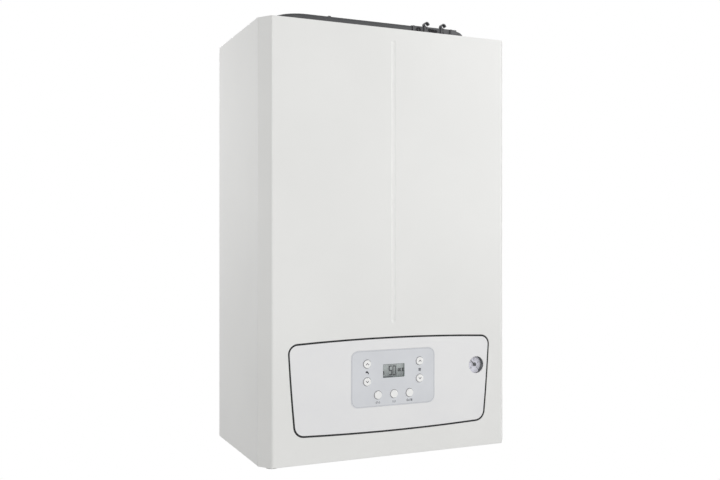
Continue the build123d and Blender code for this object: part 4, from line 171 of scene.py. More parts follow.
# each finish: what the real one is, how its surface was made, and what that gives the eye; sizes are in metres
looks = {
    # polyester powder coat baked on steel: satin white with a soft orange peel of about 1.5 mm
    "powderCoatedSteel": {
        "colour": "#EBEBE9", "shade": "#E8E8E6", "patchSize": 0.2, "grainSize": 0.0015, "roughness": 0.36,
        "roughSpread": 0.03, "bump": 0.05, "bumpHeight": 0.00005},
    # moulded white ABS: the same white, a touch cooler, with a fine spark texture of 0.7 mm
    "mouldedWhiteAbs": {
        "colour": "#EBEBEB", "shade": "#E8E8E9", "patchSize": 0.1, "grainSize": 0.0007, "roughness": 0.40,
        "roughSpread": 0.05, "bump": 0.08, "bumpHeight": 0.00004, "ior": 1.53},
    # silver printed polyester film over the keys: pale cool grey with fine flakes of 0.4 mm
    "silverPolyesterFilm": {
        "colour": "#DADCE0", "shade": "#D6D8DC", "patchSize": 0.05, "grainSize": 0.0004, "roughness": 0.38,
        "roughSpread": 0.06, "bump": 0.06, "bumpHeight": 0.00003, "grainTone": 0.02},
    # polished white ABS of the keys: bright and clean with a soft gloss
    "polishedWhiteAbs": {
        "colour": "#F6F6F5", "shade": "#F3F3F2", "patchSize": 0.05, "grainSize": 0.0006, "roughness": 0.24,
        "roughSpread": 0.03, "bump": 0.03, "bumpHeight": 0.00002, "ior": 1.53},
    # hot-dip galvanised sheet: dull grey zinc in spangles about 6 mm across
    "galvanisedSheet": {
        "colour": "#C3C6C8", "shade": "#B3B6B8", "metallic": 1.0, "cells": True, "grainSize": 0.006,
        "roughness": 0.42, "roughSpread": 0.10, "bump": 0.08, "bumpHeight": 0.00004, "grainTone": 0.16},
    # brushed stainless steel: lines along X, drawn 0.6 mm apart, coarser than real ones, so that they show
    "brushedStainless": {
        "colour": "#C9C9C7", "shade": "#BABAB8", "metallic": 1.0, "grainSize": 0.0006, "stretch": (0.04, 1, 1),
        "roughness": 0.30, "roughSpread": 0.09, "bump": 0.18, "bumpHeight": 0.00004, "grainTone": 0.10},
    # bright zinc plating on screws and pins: bluish silver with a slight cloud
    "zincPlatedSteel": {
        "colour": "#CDD0D4", "shade": "#B4B6BA", "metallic": 1.0, "patchSize": 0.008, "grainSize": 0.0008,
        "roughness": 0.28, "roughSpread": 0.08, "bump": 0.08, "bumpHeight": 0.00003},
    # sand-cast aluminium, blasted: dull light grey with a 1 mm sand grain, brighter on rubbed edges
    "castAluminium": {
        "colour": "#BCBEC0", "shade": "#A6A8AA", "metallic": 1.0, "patchSize": 0.03, "grainSize": 0.001,
        "roughness": 0.54, "roughSpread": 0.09, "bump": 0.45, "bumpHeight": 0.00018, "grainTone": 0.10,
        "wear": 0.5, "wearColour": "#D8DADC"},
    # drawn copper tube: salmon, browned in patches of 5 cm, with faint upright draw lines
    "drawnCopper": {
        "colour": "#D08B66", "shade": "#A9633F", "metallic": 1.0, "patchSize": 0.05, "grainSize": 0.0008,
        "stretch": (1, 1, 0.12), "roughness": 0.27, "roughSpread": 0.10, "bump": 0.10, "bumpHeight": 0.00004,
        "grainTone": 0.06},
    # hot-forged brass: warm yellow, slightly grainy from the die, brighter where spanners have rubbed
    "forgedBrass": {
        "colour": "#CFAE68", "shade": "#B08E4A", "metallic": 1.0, "patchSize": 0.02, "grainSize": 0.0009,
        "roughness": 0.36, "roughSpread": 0.08, "bump": 0.22, "bumpHeight": 0.00007, "grainTone": 0.06,
        "wear": 0.6, "wearColour": "#E6CC8C"},
    # baked red enamel of the expansion vessel: deep, glossy, slightly wavy like wet paint
    "bakedRedEnamel": {
        "colour": "#A4231B", "shade": "#901A14", "patchSize": 0.08, "grainSize": 0.002, "roughness": 0.26,
        "roughSpread": 0.05, "bump": 0.12, "bumpHeight": 0.0001, "coat": 0.4},
    # white stove enamel of the flue adaptor: off-white and glossy, like a cooker's
    "whiteStoveEnamel": {
        "colour": "#E6E6E3", "shade": "#E0E0DD", "patchSize": 0.05, "grainSize": 0.0012, "roughness": 0.28,
        "roughSpread": 0.04, "bump": 0.06, "bumpHeight": 0.00005, "coat": 0.2},
    # moulded polypropylene of the hood and its bracket: charcoal with a leathery 0.8 mm texture, paler edges
    "mouldedPolypropylene": {
        "colour": "#3F4042", "shade": "#393A3C", "patchSize": 0.04, "grainSize": 0.0008, "roughness": 0.48,
        "roughSpread": 0.08, "bump": 0.30, "bumpHeight": 0.00008, "ior": 1.49, "grainTone": 0.08, "wear": 0.2,
        "wearColour": "#77787B"},
    # grey polypropylene of the flue pipe and the trap: waxy, with faint flow marks
    "greyPolypropylene": {
        "colour": "#B9B9B4", "shade": "#ADADA8", "patchSize": 0.04, "grainSize": 0.001, "roughness": 0.42,
        "roughSpread": 0.05, "bump": 0.10, "bumpHeight": 0.00005, "ior": 1.49, "grainTone": 0.03},
    # glass-filled nylon: near black, with pale swirls of fibre
    "glassFilledNylon": {
        "colour": "#303134", "shade": "#232426", "patchSize": 0.012, "grainSize": 0.0006, "roughness": 0.46,
        "roughSpread": 0.10, "bump": 0.20, "bumpHeight": 0.00006, "ior": 1.53, "grainTone": 0.12},
    # extruded EPDM rubber: matt black
    "extrudedRubber": {
        "colour": "#1A1A1C", "shade": "#151517", "patchSize": 0.02, "grainSize": 0.0008, "roughness": 0.72,
        "roughSpread": 0.08, "bump": 0.15, "bumpHeight": 0.00006, "ior": 1.47},
    # red silicone sleeve of the ignition lead: matt brick red
    "redSilicone": {
        "colour": "#962D1E", "shade": "#812417", "patchSize": 0.02, "grainSize": 0.0007, "roughness": 0.52,
        "roughSpread": 0.06, "bump": 0.10, "bumpHeight": 0.00005, "ior": 1.42},
    # fired alumina of the electrode: ivory, smooth as china
    "firedAlumina": {
        "colour": "#EBE8DE", "shade": "#DFDBCF", "patchSize": 0.01, "grainSize": 0.0005, "roughness": 0.33,
        "roughSpread": 0.05, "bump": 0.10, "bumpHeight": 0.00004, "ior": 1.76},
    # dark moulded ABS of the control box: anthracite with a 1 mm spark texture
    "mouldedDarkAbs": {
        "colour": "#3E3F43", "shade": "#35363A", "patchSize": 0.05, "grainSize": 0.001, "roughness": 0.50,
        "roughSpread": 0.07, "bump": 0.25, "bumpHeight": 0.00007, "ior": 1.53, "grainTone": 0.06},
    # solder mask over woven glass fibre: green, glossy, with the 1 mm weave faint below
    "greenSolderMask": {
        "colour": "#216040", "shade": "#1B5033", "patchSize": 0.012, "cells": True, "grainSize": 0.001,
        "roughness": 0.30, "roughSpread": 0.06, "bump": 0.06, "bumpHeight": 0.00003, "coat": 0.4,
        "grainTone": 0.10},
    # moulded ABS of the tap and the test knob, coloured right through: blue and red with a soft gloss
    "mouldedBlueAbs": {**knobAbs, "colour": "#1D4F92", "shade": "#184381"},
    "mouldedRedAbs": {**knobAbs, "colour": "#A8241B", "shade": "#971D15"},
    # black baked lacquer of the gauge needle: jet, half gloss
    "blackLacquer": {
        "colour": "#17171A", "shade": "#101012", "patchSize": 0.01, "grainSize": 0.0004, "roughness": 0.32,
        "roughSpread": 0.03, "bump": 0.03, "bumpHeight": 0.00002},
    # screen-printed inks: dark, middle and pale grey, flat and a little rough
    "darkScreenInk": {**inkFilm, "colour": "#3A3B42", "shade": "#33343A"},
    "greyScreenInk": {**inkFilm, "colour": "#7E8087", "shade": "#74767D"},
    "paleScreenInk": {**inkFilm, "colour": "#A9ABB2", "shade": "#9EA0A7"},
    # cast acrylic over the display and the gauge: clear, hard gloss
    "castAcrylic": {
        "colour": "#E9EDF2", "shade": "#E5E9EE", "patchSize": 0.02, "grainSize": 0.002, "roughness": 0.06,
        "roughSpread": 0.01, "bump": 0.02, "bumpHeight": 0.00001, "ior": 1.49, "alpha": 0.05},
    # reflective crystal cell of the display: green-grey, with painted light that makes it darker towards its lower
    # edge and lighter towards its upper edge
    "crystalCell": {
        "colour": "#7C8381", "shade": "#747B79", "patchSize": 0.01, "grainSize": 0.0004, "roughness": 0.30,
        "roughSpread": 0.03, "bump": 0.02, "bumpHeight": 0.00001, "fade": (-0.5255, -0.5065),
        "fadeColour": "#B4BAB8"},
    # the gauge's dial: pale lilac-grey lacquered aluminium, matt
    "lacqueredDial": {
        "colour": "#F1F0FA", "shade": "#EAE9F4", "patchSize": 0.006, "grainSize": 0.0004, "roughness": 0.5,
        "roughSpread": 0.05, "bump": 0.05, "bumpHeight": 0.00001},
    # foil-faced foam stuck inside the cover: crinkled silver, creases about 8 mm apart
    "foilFacedFoam": {
        "colour": "#C9CBCD", "shade": "#AEB0B3", "metallic": 1.0, "cells": True, "grainSize": 0.008,
        "roughness": 0.40, "roughSpread": 0.12, "bump": 0.5, "bumpHeight": 0.0004, "grainTone": 0.10},
}
surfaces = {name: makeSurface(name, look) for name, look in looks.items()}
print("finishes made,", len(surfaces))

nodeSurfaces = {
    "powderCoatedSteel": ["front_cover", "left_side_panel", "right_side_panel", "top_panel"],
    "mouldedWhiteAbs": ["dashboard_fascia", "diverter_actuator"],
    "silverPolyesterFilm": ["keypad_overlay"],
    "polishedWhiteAbs": ["left_up_button", "left_down_button", "right_up_button", "right_down_button",
                         "reset_button", "info_button", "mode_button"],
    "galvanisedSheet": ["rear_frame", "bottom_plate"],
    "brushedStainless": ["burner", "plate_heat_exchanger", "diverter_spindle"],
    "zincPlatedSteel": ["casing_screws", "hinge_pins"],
    "castAluminium": ["heat_exchanger", "burner_door", "fan_housing", "gas_air_mixer", "gas_valve"],
    "drawnCopper": ["gas_pipe", "gas_feed_pipe", "flow_pipe", "return_pipe", "vessel_pipe"],
    "forgedBrass": ["flow_manifold", "return_manifold", "safety_valve"],
    "bakedRedEnamel": ["expansion_vessel"],
    "whiteStoveEnamel": ["flue_adaptor"],
    "mouldedPolypropylene": ["top_hood", "cable_bracket"],
    "greyPolypropylene": ["flue_duct", "condensate_trap"],
    "glassFilledNylon": ["fan_motor", "fan_impeller", "air_silencer", "condensate_sump", "pump_body", "pump_motor",
                         "pump_impeller", "gauge_body"],
    "extrudedRubber": ["panel_gasket", "pipe_grommets"],
    "redSilicone": ["ignition_lead"],
    "firedAlumina": ["ignition_electrode"],
    "mouldedDarkAbs": ["control_box"],
    "greenSolderMask": ["circuit_board"],
    "mouldedBlueAbs": ["filling_tap"],
    "mouldedRedAbs": ["safety_valve_knob"],
    "blackLacquer": ["gauge_needle"],
    "castAcrylic": ["display_window", "gauge_glass"],
}
surfaceOf = {member: name for name, members in nodeSurfaces.items() for member in members}
for member, name in surfaceOf.items():
    nodes[member].data.materials.clear()
    nodes[member].data.materials.append(surfaces[name])
print("materials on the CAD nodes,", len(nodes) - len(surfaceOf), "without")


def clearSelection():
    bpy.ops.object.select_all(action="DESELECT")


def pick(piece):
    clearSelection()
    piece.select_set(True)
    bpy.context.view_layer.objects.active = piece


def settle(piece, surface, body):
    # place goes into the mesh, then the piece gets its finish and its body
    pick(piece)
    bpy.ops.object.transform_apply(location=True, rotation=True, scale=True)
    piece.data.materials.clear()
    piece.data.materials.append(surfaces[surface])
    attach(piece, body)


def takePrimitive(name, scale=(1, 1, 1)):
    # the primitive that was just added: named, and its size and place put into its mesh
    piece = bpy.context.object
    piece.name = name
    piece.scale = scale
    bpy.ops.object.transform_apply(location=True, rotation=True, scale=True)
    return piece


def joinPieces(parts, name):
    pick(parts[0])
    for part in parts[1:]:
        part.select_set(True)
    if len(parts) > 1:
        bpy.ops.object.join()
    joined = bpy.context.view_layer.objects.active
    joined.name = name
    return joined


def applyModifier(piece, kind, **settings):
    pick(piece)
    modifier = piece.modifiers.new(kind.lower(), kind)
    for key, value in settings.items():
        setattr(modifier, key, value)
    bpy.ops.object.modifier_apply(modifier=modifier.name)


def easeEdges(piece, width, angle, segments=2):
    applyModifier(piece, "BEVEL", width=width, segments=segments, limit_method="ANGLE", angle_limit=radians(angle))


def smoothFaces(piece, angle=35):
    # curved walls shade smoothly while large flat faces keep their own normal
    pick(piece)
    bpy.ops.object.shade_smooth_by_angle(angle=radians(angle))
    applyModifier(piece, "WEIGHTED_NORMAL", keep_sharp=True, weight=80)


nodeCopy = {"mergeDistance": 0.005 * mm, "flatAngle": 0.5}


def copyOfNode(nodeName, name, wholeFaces=True):
    # a merged copy of a CAD node, its flat faces made whole again
    source = nodes[nodeName]
    piece = source.copy()
    piece.data = source.data.copy()
    piece.name = name
    bpy.context.collection.objects.link(piece)
    for key in list(piece.keys()):
        if key.startswith("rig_"):
            del piece[key]
    piece.parent = None
    pick(piece)
    bpy.ops.object.mode_set(mode="EDIT")
    bpy.ops.mesh.select_all(action="SELECT")
    bpy.ops.mesh.remove_doubles(threshold=nodeCopy["mergeDistance"])
    if wholeFaces:
        bpy.ops.mesh.dissolve_limited(angle_limit=radians(nodeCopy["flatAngle"]))
    bpy.ops.object.mode_set(mode="OBJECT")
    return piece


def startPicking(piece, kind):
    pick(piece)
    bpy.ops.object.mode_set(mode="EDIT")
    bpy.ops.mesh.select_mode(type=kind)
    bpy.ops.mesh.select_all(action="DESELECT")
    return bmesh.from_edit_mesh(piece.data)


def pickEdges(piece, test):
    # edit mode with the edges selected whose two ends pass the test
    for edge in startPicking(piece, "EDGE").edges:
        if test(edge.verts[0].co, edge.verts[1].co):
            edge.select_set(True)
    bmesh.update_edit_mesh(piece.data)


def pickFaces(piece, test):
    # edit mode with the faces selected whose middle and normal pass the test
    for face in startPicking(piece, "FACE").faces:
        face.select_set(test(face.calc_center_median(), face.normal))
    bmesh.update_edit_mesh(piece.data)


def stepFaces(piece, test, steps, along):
    # the faces that pass are set in and then pushed along one direction, step by step
    pickFaces(piece, test)
    for inset, push in steps:
        bpy.ops.mesh.inset(thickness=inset)
        bpy.ops.transform.translate(value=Vector(along) * push)
    bpy.ops.object.mode_set(mode="OBJECT")


def camelName(nodeName):
    first, *rest = nodeName.split("_")
    return first + "".join(word.capitalize() for word in rest)


def standFor(piece, nodeName):
    settle(piece, surfaceOf[nodeName], nodes[nodeName]["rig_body"])
    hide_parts(nodeName)


def roundFold(piece, test, radius, segments=4):
    pickEdges(piece, test)
    bpy.ops.mesh.bevel(offset=radius, offset_type="OFFSET", segments=segments)
    bpy.ops.object.mode_set(mode="OBJECT")


def inkStrokes(name, strokes, thickness, reach, surface, body):
    # flat printed strokes, one plane for each run between two points in X and Z, lapping so that corners close
    lap = 0.8 * thickness
    parts = []
    for (x0, z0), (x1, z1) in strokes:
        clearSelection()
        bpy.ops.mesh.primitive_plane_add(size=1, location=((x0 + x1) / 2, -reach, (z0 + z1) / 2),
                                         rotation=(radians(90), -atan2(z1 - z0, x1 - x0), 0))
        plane = bpy.context.object
        plane.scale = (hypot(x1 - x0, z1 - z0) + lap, thickness, 1)
        parts.append(plane)
    settle(joinPieces(parts, name), surface, body)


def rubberRings(name, rings, thickness, reach, segments, body):
    # rubber rings that face the front: x, z, radius, and how much wider than high
    parts = []
    for x, z, radius, widen in rings:
        clearSelection()
        bpy.ops.mesh.primitive_torus_add(major_radius=radius, minor_radius=thickness, major_segments=segments,
                                         minor_segments=8, location=(x, -reach, z), rotation=facingFront)
        bpy.context.object.scale = (widen, 1, 1)
        parts.append(bpy.context.object)
    joined = joinPieces(parts, name)
    bpy.ops.object.shade_smooth()
    settle(joined, "extrudedRubber", body)


def chain(*points):
    # runs from point to point
    return list(zip(points, points[1:]))


# folded sheet: the front cover and the side panels get real bend radii
folds = {"coverRadius": 2.6 * mm, "coverTall": 0.5, "panelRadius": 1.5 * mm, "panelTall": 0.15,
         "rimRadius": 1.2 * mm, "rimWide": 0.2, "rimTop": 0, "rimFoot": -0.64, "edge": 0.2 * mm, "edgeAngle": 50,
         "frontY": -0.254, "foldX": 0.209, "sideX": 0.225, "nearly": 0.15 * mm}
print("front cover and side panels")


def near(value, target):
    return abs(value - target) < folds["nearly"]


def onFront(a, b):
    return near(a.y, folds["frontY"]) and near(b.y, folds["frontY"])


def coverFold(a, b):
    # the long upright folds between the front and its two bevels
    return (a - b).length > folds["coverTall"] and onFront(a, b) \
        and near(abs(a.x), folds["foldX"]) and near(abs(b.x), folds["foldX"])


def coverRim(a, b):
    # the upper and lower edge of the front
    return (a - b).length > folds["rimWide"] and abs(a.z - b.z) < mm and onFront(a, b) \
        and (a.z > folds["rimTop"] or a.z < folds["rimFoot"])


def panelFold(a, b):
    # where a side panel's face turns into its flanges
    return (a - b).length > folds["panelTall"] and all(near(abs(v.x), folds["sideX"]) for v in (a, b))


def grooveEdge(level):
    # edges of the pressed groove's outline at one depth
    def test(a, b):
        return all(near(v.y, level) and abs(v.x) < 2 * groove["half"] and groove["low"] < v.z < groove["high"]
                   for v in (a, b))
    return test


def grooveFloor(centre, normal):
    return normal.y < -0.99 and near(centre.y, groove["floor"]) and abs(centre.x) < groove["half"]


# the pressed groove: shallow, with walls that slope, so that it shows as one bright and one dark line
groove = {"half": 3.75 * mm, "floor": -0.251, "low": baseZ + 0.21, "high": baseZ + 0.69,  # as it is in the CAD
          "shift": -0.5 * mm, "lift": -2.2 * mm, "narrow": 0.55, "shorten": 0.985,  # what its floor is given
          "spread": 1.1, "round": 0.5 * mm}  # what its rim is given
cover = copyOfNode("front_cover", "frontCover")
pickFaces(cover, grooveFloor)
bpy.ops.transform.translate(value=(groove["shift"], groove["lift"], 0))
bpy.ops.transform.resize(value=(groove["narrow"], 1, groove["shorten"]),
                         center_override=(0, groove["floor"], (groove["low"] + groove["high"]) / 2))
bpy.ops.object.mode_set(mode="OBJECT")
pickEdges(cover, grooveEdge(folds["frontY"]))
bpy.ops.transform.resize(value=(groove["spread"], 1, 1), center_override=(0, folds["frontY"], 0))
bpy.ops.object.mode_set(mode="OBJECT")
roundFold(cover, grooveEdge(folds["frontY"]), groove["round"], 3)
roundFold(cover, grooveEdge(groove["floor"] + groove["lift"]), groove["round"], 3)
roundFold(cover, coverFold, folds["coverRadius"], 6)
roundFold(cover, coverRim, folds["rimRadius"], 3)
easeEdges(cover, folds["edge"], folds["edgeAngle"])
smoothFaces(cover)
standFor(cover, "front_cover")
for panelName in ("left_side_panel", "right_side_panel"):
    panel = copyOfNode(panelName, camelName(panelName))
    roundFold(panel, panelFold, folds["panelRadius"])
    easeEdges(panel, folds["edge"], folds["edgeAngle"])
    smoothFaces(panel)
    standFor(panel, panelName)

# moulded, cast and turned pieces get the edge radius of their own making, in millimetres; 0 only smooths the walls
edgeRadii = {
    "top_panel": 0.3, "rear_frame": 0.3, "bottom_plate": 0.3, "dashboard_fascia": 0.35, "keypad_overlay": 0.15,
    "display_window": 0.1, "panel_gasket": 0.15, "top_hood": 0.5, "cable_bracket": 0.4, "flue_adaptor": 0.4,
    "flue_duct": 0, "expansion_vessel": 0, "vessel_pipe": 0, "heat_exchanger": 0.7, "burner_door": 0.7, "burner": 0,
    "ignition_electrode": 0.2, "ignition_lead": 0, "condensate_sump": 0.6, "condensate_trap": 0, "fan_housing": 0.6,
    "fan_motor": 0, "gas_air_mixer": 0.5, "air_silencer": 0.6, "gas_valve": 0.6, "gas_pipe": 0, "gas_feed_pipe": 0,
    "flow_pipe": 0, "return_pipe": 0, "flow_manifold": 0.4, "return_manifold": 0.4, "plate_heat_exchanger": 0.3,
    "diverter_actuator": 0.6, "pump_body": 0.5, "pump_motor": 0, "safety_valve": 0.4, "safety_valve_knob": 0.4,
    "filling_tap": 0.4, "control_box": 0.3, "gauge_body": 0, "gauge_glass": 0.15, "pipe_grommets": 0.4,
    "hinge_pins": 0.2, "pump_impeller": 0, "diverter_spindle": 0.1, "gauge_needle": 0.05,
}
sharpAngle = 40  # degrees above which an edge is eased
gasketLip = {"swell": 0.85 * mm}
print("edges of", len(edgeRadii), "pieces")
for nodeName, radius in edgeRadii.items():
    piece = copyOfNode(nodeName, camelName(nodeName), wholeFaces=radius > 0)
    if nodeName == "panel_gasket":  # swollen, because the soft lip fills its gap
        pickFaces(piece, lambda centre, normal: True)
        bpy.ops.transform.shrink_fatten(value=gasketLip["swell"])
        bpy.ops.object.mode_set(mode="OBJECT")
    if radius:
        easeEdges(piece, radius * mm, sharpAngle)
    smoothFaces(piece)
    standFor(piece, nodeName)

# painted shade: dark rubber rings round the keys, put in each gap so that it shows the dark line of its shade
keyGapShade = {"radius": 6.98 * mm, "thickness": 0.43 * mm, "reach": 0.25365}
print("key gap shade rings")
keyNames = nodeSurfaces["polishedWhiteAbs"]
keyMiddles = [sum(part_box(keyName), Vector()) / 2 for keyName in keyNames]
rubberRings("keyGapShadeRings", [(middle.x, middle.z, keyGapShade["radius"], 1) for middle in keyMiddles],
            keyGapShade["thickness"], keyGapShade["reach"], 48, "dashboard")

# push buttons: a shallow dish is pressed into each cap
buttonCap = {"front": -0.2558, "rim": 1.1 * mm, "slope": 1.6 * mm, "dish": 0.35 * mm, "nearly": 0.02 * mm}
print("push buttons")


def capFace(centre, normal):
    return normal.y < -0.9999 and centre.y < buttonCap["front"] + buttonCap["nearly"]


for keyName in keyNames:
    button = copyOfNode(keyName, camelName(keyName))
    stepFaces(button, capFace, ((buttonCap["rim"], 0), (buttonCap["slope"], buttonCap["dish"])), (0, 1, 0))
    smoothFaces(button, 50)
    standFor(button, keyName)

# prints on the keys and on the film: chevrons, a tap, a radiator and three small signs
keyPrint = {"halfWidth": 2.2 * mm, "height": 2.3 * mm, "line": 1.0 * mm, "reach": 0.25548, "film": 0.25425}
print("prints of the keypad")
# x and height above the casing's foot in millimetres, and 1 where the chevron points up
keyPlaces = {"left_up_button": (-48, 152.3, 1), "left_down_button": (-48, 123.6, -1),
             "right_up_button": (48, 152.3, 1), "right_down_button": (48, 123.6, -1)}
for keyName, (x, height, way) in keyPlaces.items():
    x, z = x * mm, baseZ + height * mm
    tip, foot = z + way * keyPrint["height"] / 2, z - way * keyPrint["height"] / 2
    inkStrokes(camelName(keyName) + "Chevron",
               chain((x - keyPrint["halfWidth"], foot), (x, tip), (x + keyPrint["halfWidth"], foot)),
               keyPrint["line"], keyPrint["reach"], "darkScreenInk", keyName)


def arc(middleX, radius, start, count, step=0.6):
    # short runs along an arc, in millimetres around a sign's own middle; start and step are in radians
    angles = [start + step * k for k in range(count + 1)]
    return chain(*[(radius * cos(a) + middleX, radius * sin(a)) for a in angles])


# every sign is a list of runs in millimetres around its own middle, then its place, line width and ink
signs = {
    "tapSign": {"place": (-48, 138), "line": 1.5, "ink": "darkScreenInk",
                "runs": chain((-2.2, 0.6), (1.2, 0.6), (2.1, -0.6), (2.1, -1.6))
                + [((-0.6, 0.6), (-0.6, 1.9)), ((-1.7, 1.9), (0.6, 1.9))]},
    "radiatorSign": {"place": (48, 138), "line": 0.9, "ink": "greyScreenInk",
                     "runs": [((k * 1.15, -1.9), (k * 1.15, 1.9)) for k in (-1.5, -0.5, 0.5, 1.5)]
                     + [((-1.9, 1.3), (1.9, 1.3)), ((-1.9, -1.3), (1.9, -1.3))]},
    "resetSign": {"place": (-28.5, 88.6), "line": 0.65, "ink": "greyScreenInk",
                  "runs": arc(-2.4, 1.5, 0.6, 8) + chain((-1.2, 1.7), (-1.1, 0.5), (-2.3, 0.6))
                  + chain((1.4, -1.3), (1.0, 0), (2.2, 1.5), (3.0, 0), (2.7, -1.3), (1.4, -1.3))},
    "infoSign": {"place": (0.5, 88.6), "line": 0.7, "ink": "greyScreenInk",
                 "runs": [((0, -1.4), (0, 0.4)), ((-0.6, 0.4), (0, 0.4)), ((-0.8, -1.4), (0.8, -1.4)),
                          ((-0.1, 1.4), (0.1, 1.4)), ((-2.4, -1.6), (-2.4, 1.6)), ((2.4, -1.6), (2.4, 1.6))]},
    "modeSign": {"place": (29, 88.9), "line": 0.8, "ink": "greyScreenInk",
                 "runs": arc(-3.6, 1.6, 2.2, 8) + [((-3.6, 0.2), (-3.6, 2.1)), ((-0.6, -1.8), (0.8, 1.8))]
                 + [((k, -1.5), (k, 1.5)) for k in (2.4, 3.5, 4.6)]
                 + [((2.2, 0.9), (4.8, 0.9)), ((2.2, -0.9), (4.8, -0.9))]},
}
for name, sign in signs.items():
    middleX, middleZ = sign["place"][0] * mm, baseZ + sign["place"][1] * mm
    runs = [tuple((middleX + x * mm, middleZ + z * mm) for x, z in run) for run in sign["runs"]]
    inkStrokes(name, runs, sign["line"] * mm, keyPrint["film"], sign["ink"], "dashboard")

# the fine printed line just inside the film's edge
filmLine = {"halfWidth": 74.6 * mm, "low": baseZ + 83.4 * mm, "high": baseZ + 172.6 * mm, "corner": 10.6 * mm,
            "line": 0.35 * mm, "steps": 6}
outline = []
for cornerX, cornerZ, start in ((1, 1, 0), (-1, 1, 90), (-1, -1, 180), (1, -1, 270)):
    middleX = cornerX * (filmLine["halfWidth"] - filmLine["corner"])
    middleZ = (filmLine["high"] if cornerZ > 0 else filmLine["low"]) - cornerZ * filmLine["corner"]
    for step in range(filmLine["steps"] + 1):
        angle = radians(start + 90 * step / filmLine["steps"])
        outline.append((middleX + filmLine["corner"] * cos(angle), middleZ + filmLine["corner"] * sin(angle)))
inkStrokes("filmEdgeLine", chain(*outline, outline[0]), filmLine["line"], keyPrint["film"],
           "paleScreenInk", "dashboard")

# display: the crystal cell, two upright seven-bar digits and small signs; digits and signs in millimetres
display = {"middle": baseZ + 139.1 * mm, "halfWidth": 19.5 * mm, "halfHeight": 10.9 * mm, "corner": 1.2 * mm,
           "cellBack": 0.25162, "cellFront": 0.25172, "print": 0.25176, "digitHalf": 2.1, "digitHeight": 7.0,
           "bar": 1.9, "gap": 0.25}
print("display")
cellDepth = display["cellFront"] - display["cellBack"]
clearSelection()
bpy.ops.mesh.primitive_cube_add(size=1, location=(0, -(display["cellBack"] + display["cellFront"]) / 2,
                                                  display["middle"]))
cell = takePrimitive("displayCell", (2 * display["halfWidth"], cellDepth, 2 * display["halfHeight"]))
roundFold(cell, lambda a, b: abs(a.y - b.y) > cellDepth / 2, display["corner"])
settle(cell, "crystalCell", "dashboard")


def digitBars(middleX, lit):
    # the lit ones of a digit's seven bars, in millimetres around the middle of the display
    half, tall, gap = display["digitHalf"], display["digitHeight"], display["gap"]
    bars = {"a": ((-half, tall), (half, tall)), "f": ((-half, tall), (-half, 0)), "b": ((half, tall), (half, 0)),
            "g": ((-half, 0), (half, 0)), "e": ((-half, 0), (-half, -tall)), "c": ((half, 0), (half, -tall)),
            "d": ((-half, -tall), (half, -tall))}
    runs = []
    for bar in lit:
        (x0, z0), (x1, z1) = bars[bar]
        alongX, alongZ = (x1 > x0) * gap, (z0 > z1) * gap
        runs.append(((middleX + x0 + alongX, z0 - alongZ), (middleX + x1 - alongX, z1 + alongZ)))
    return runs


displayPrints = {
    "displayDigits": {"line": display["bar"], "ink": "blackLacquer",
                      "runs": digitBars(-5.0, "afgcd") + digitBars(1.8, "abfecd")},
    "displayFrame": {"line": 0.45, "ink": "darkScreenInk",
                     "runs": chain((-9.2, 9.4), (6.0, 9.4), (6.0, -9.0), (-9.2, -9.0), (-9.2, 9.4))},
    "displayRadiator": {"line": 1.1, "ink": "blackLacquer",
                        "runs": [((x, 2.6), (x, -2.0)) for x in (8.8, 10.4, 12.0, 13.6)]
                        + [((8.8, 1.6), (13.6, 1.6)), ((8.8, -1.0), (13.6, -1.0))]},
    "displayArrow": {"line": 3.0, "ink": "blackLacquer", "runs": [((17.4, 2.2), (17.4, -1.6))]},
    "displayTap": {"line": 2.8, "ink": "blackLacquer", "runs": [((-17.6, -1.4), (-17.6, -4.8))]},
    "displayFlame": {"line": 0.7, "ink": "greyScreenInk",
                     "runs": chain((14.4, -7.4), (13.6, -5.6), (15.0, -3.4), (16.2, -5.6), (15.6, -7.4))},
    "displayBaseLine": {"line": 1.3, "ink": "darkScreenInk", "runs": [((-17.8, -10.1), (-1.0, -10.1))]},
    "displayTicks": {"line": 0.6, "ink": "greyScreenInk",
                     "runs": [((x, 8.6), (x, 7.2)) for x in (-17, -15, -13, 15, 17)]},
}
for name, symbol in displayPrints.items():
    runs = [tuple((x * mm, display["middle"] + z * mm) for x, z in run) for run in symbol["runs"]]
    inkStrokes(name, runs, symbol["line"] * mm, display["print"], symbol["ink"], "dashboard")

# pressure gauge: dial with its scale from 0 to 4, painted shadow as dark arcs at its right rim, hub cap on the
# needle; angles in degrees
dial = {"x": 157.5 * mm, "z": baseZ + 139.4 * mm, "radius": 15.35 * mm, "back": 0.24602, "front": 0.24632,
        "print": 0.24636, "rim": 1.2 * mm, "step": 0.2 * mm, "sink": 0.05 * mm, "start": 225, "sweep": 270}
dialPrint = {"highest": 4, "ticksEach": 5, "tickEnd": 13.8, "longTick": 10.6, "shortTick": 11.8,
             "tickLine": 0.8 * mm, "zones": ((-50, -18), (-8, 55)), "shadowArcStep": 7, "shadowArcRadius": 14.2,
             "shadowArcLine": 2.1 * mm, "numberRadius": 8.2, "numberSize": 5.0 * mm}
needleHub = {"radius": 2.9 * mm, "front": 0.2492, "depth": 1.2 * mm, "shoulder": 0.5 * mm, "dome": -0.35 * mm}
print("gauge dial")


def frontFace(centre, normal):
    return normal.y < -0.9


clearSelection()
bpy.ops.mesh.primitive_cylinder_add(vertices=72, radius=dial["radius"], depth=dial["front"] - dial["back"],
                                    location=(dial["x"], -(dial["front"] + dial["back"]) / 2, dial["z"]),
                                    rotation=facingFront)
plate = takePrimitive("dialPlate")
stepFaces(plate, frontFace, ((dial["rim"], 0), (dial["step"], dial["sink"])), (0, 1, 0))
smoothFaces(plate)
settle(plate, "lacqueredDial", "dashboard")


def onDial(angle, radius):
    return dial["x"] + cos(radians(angle)) * radius * mm, dial["z"] + sin(radians(angle)) * radius * mm


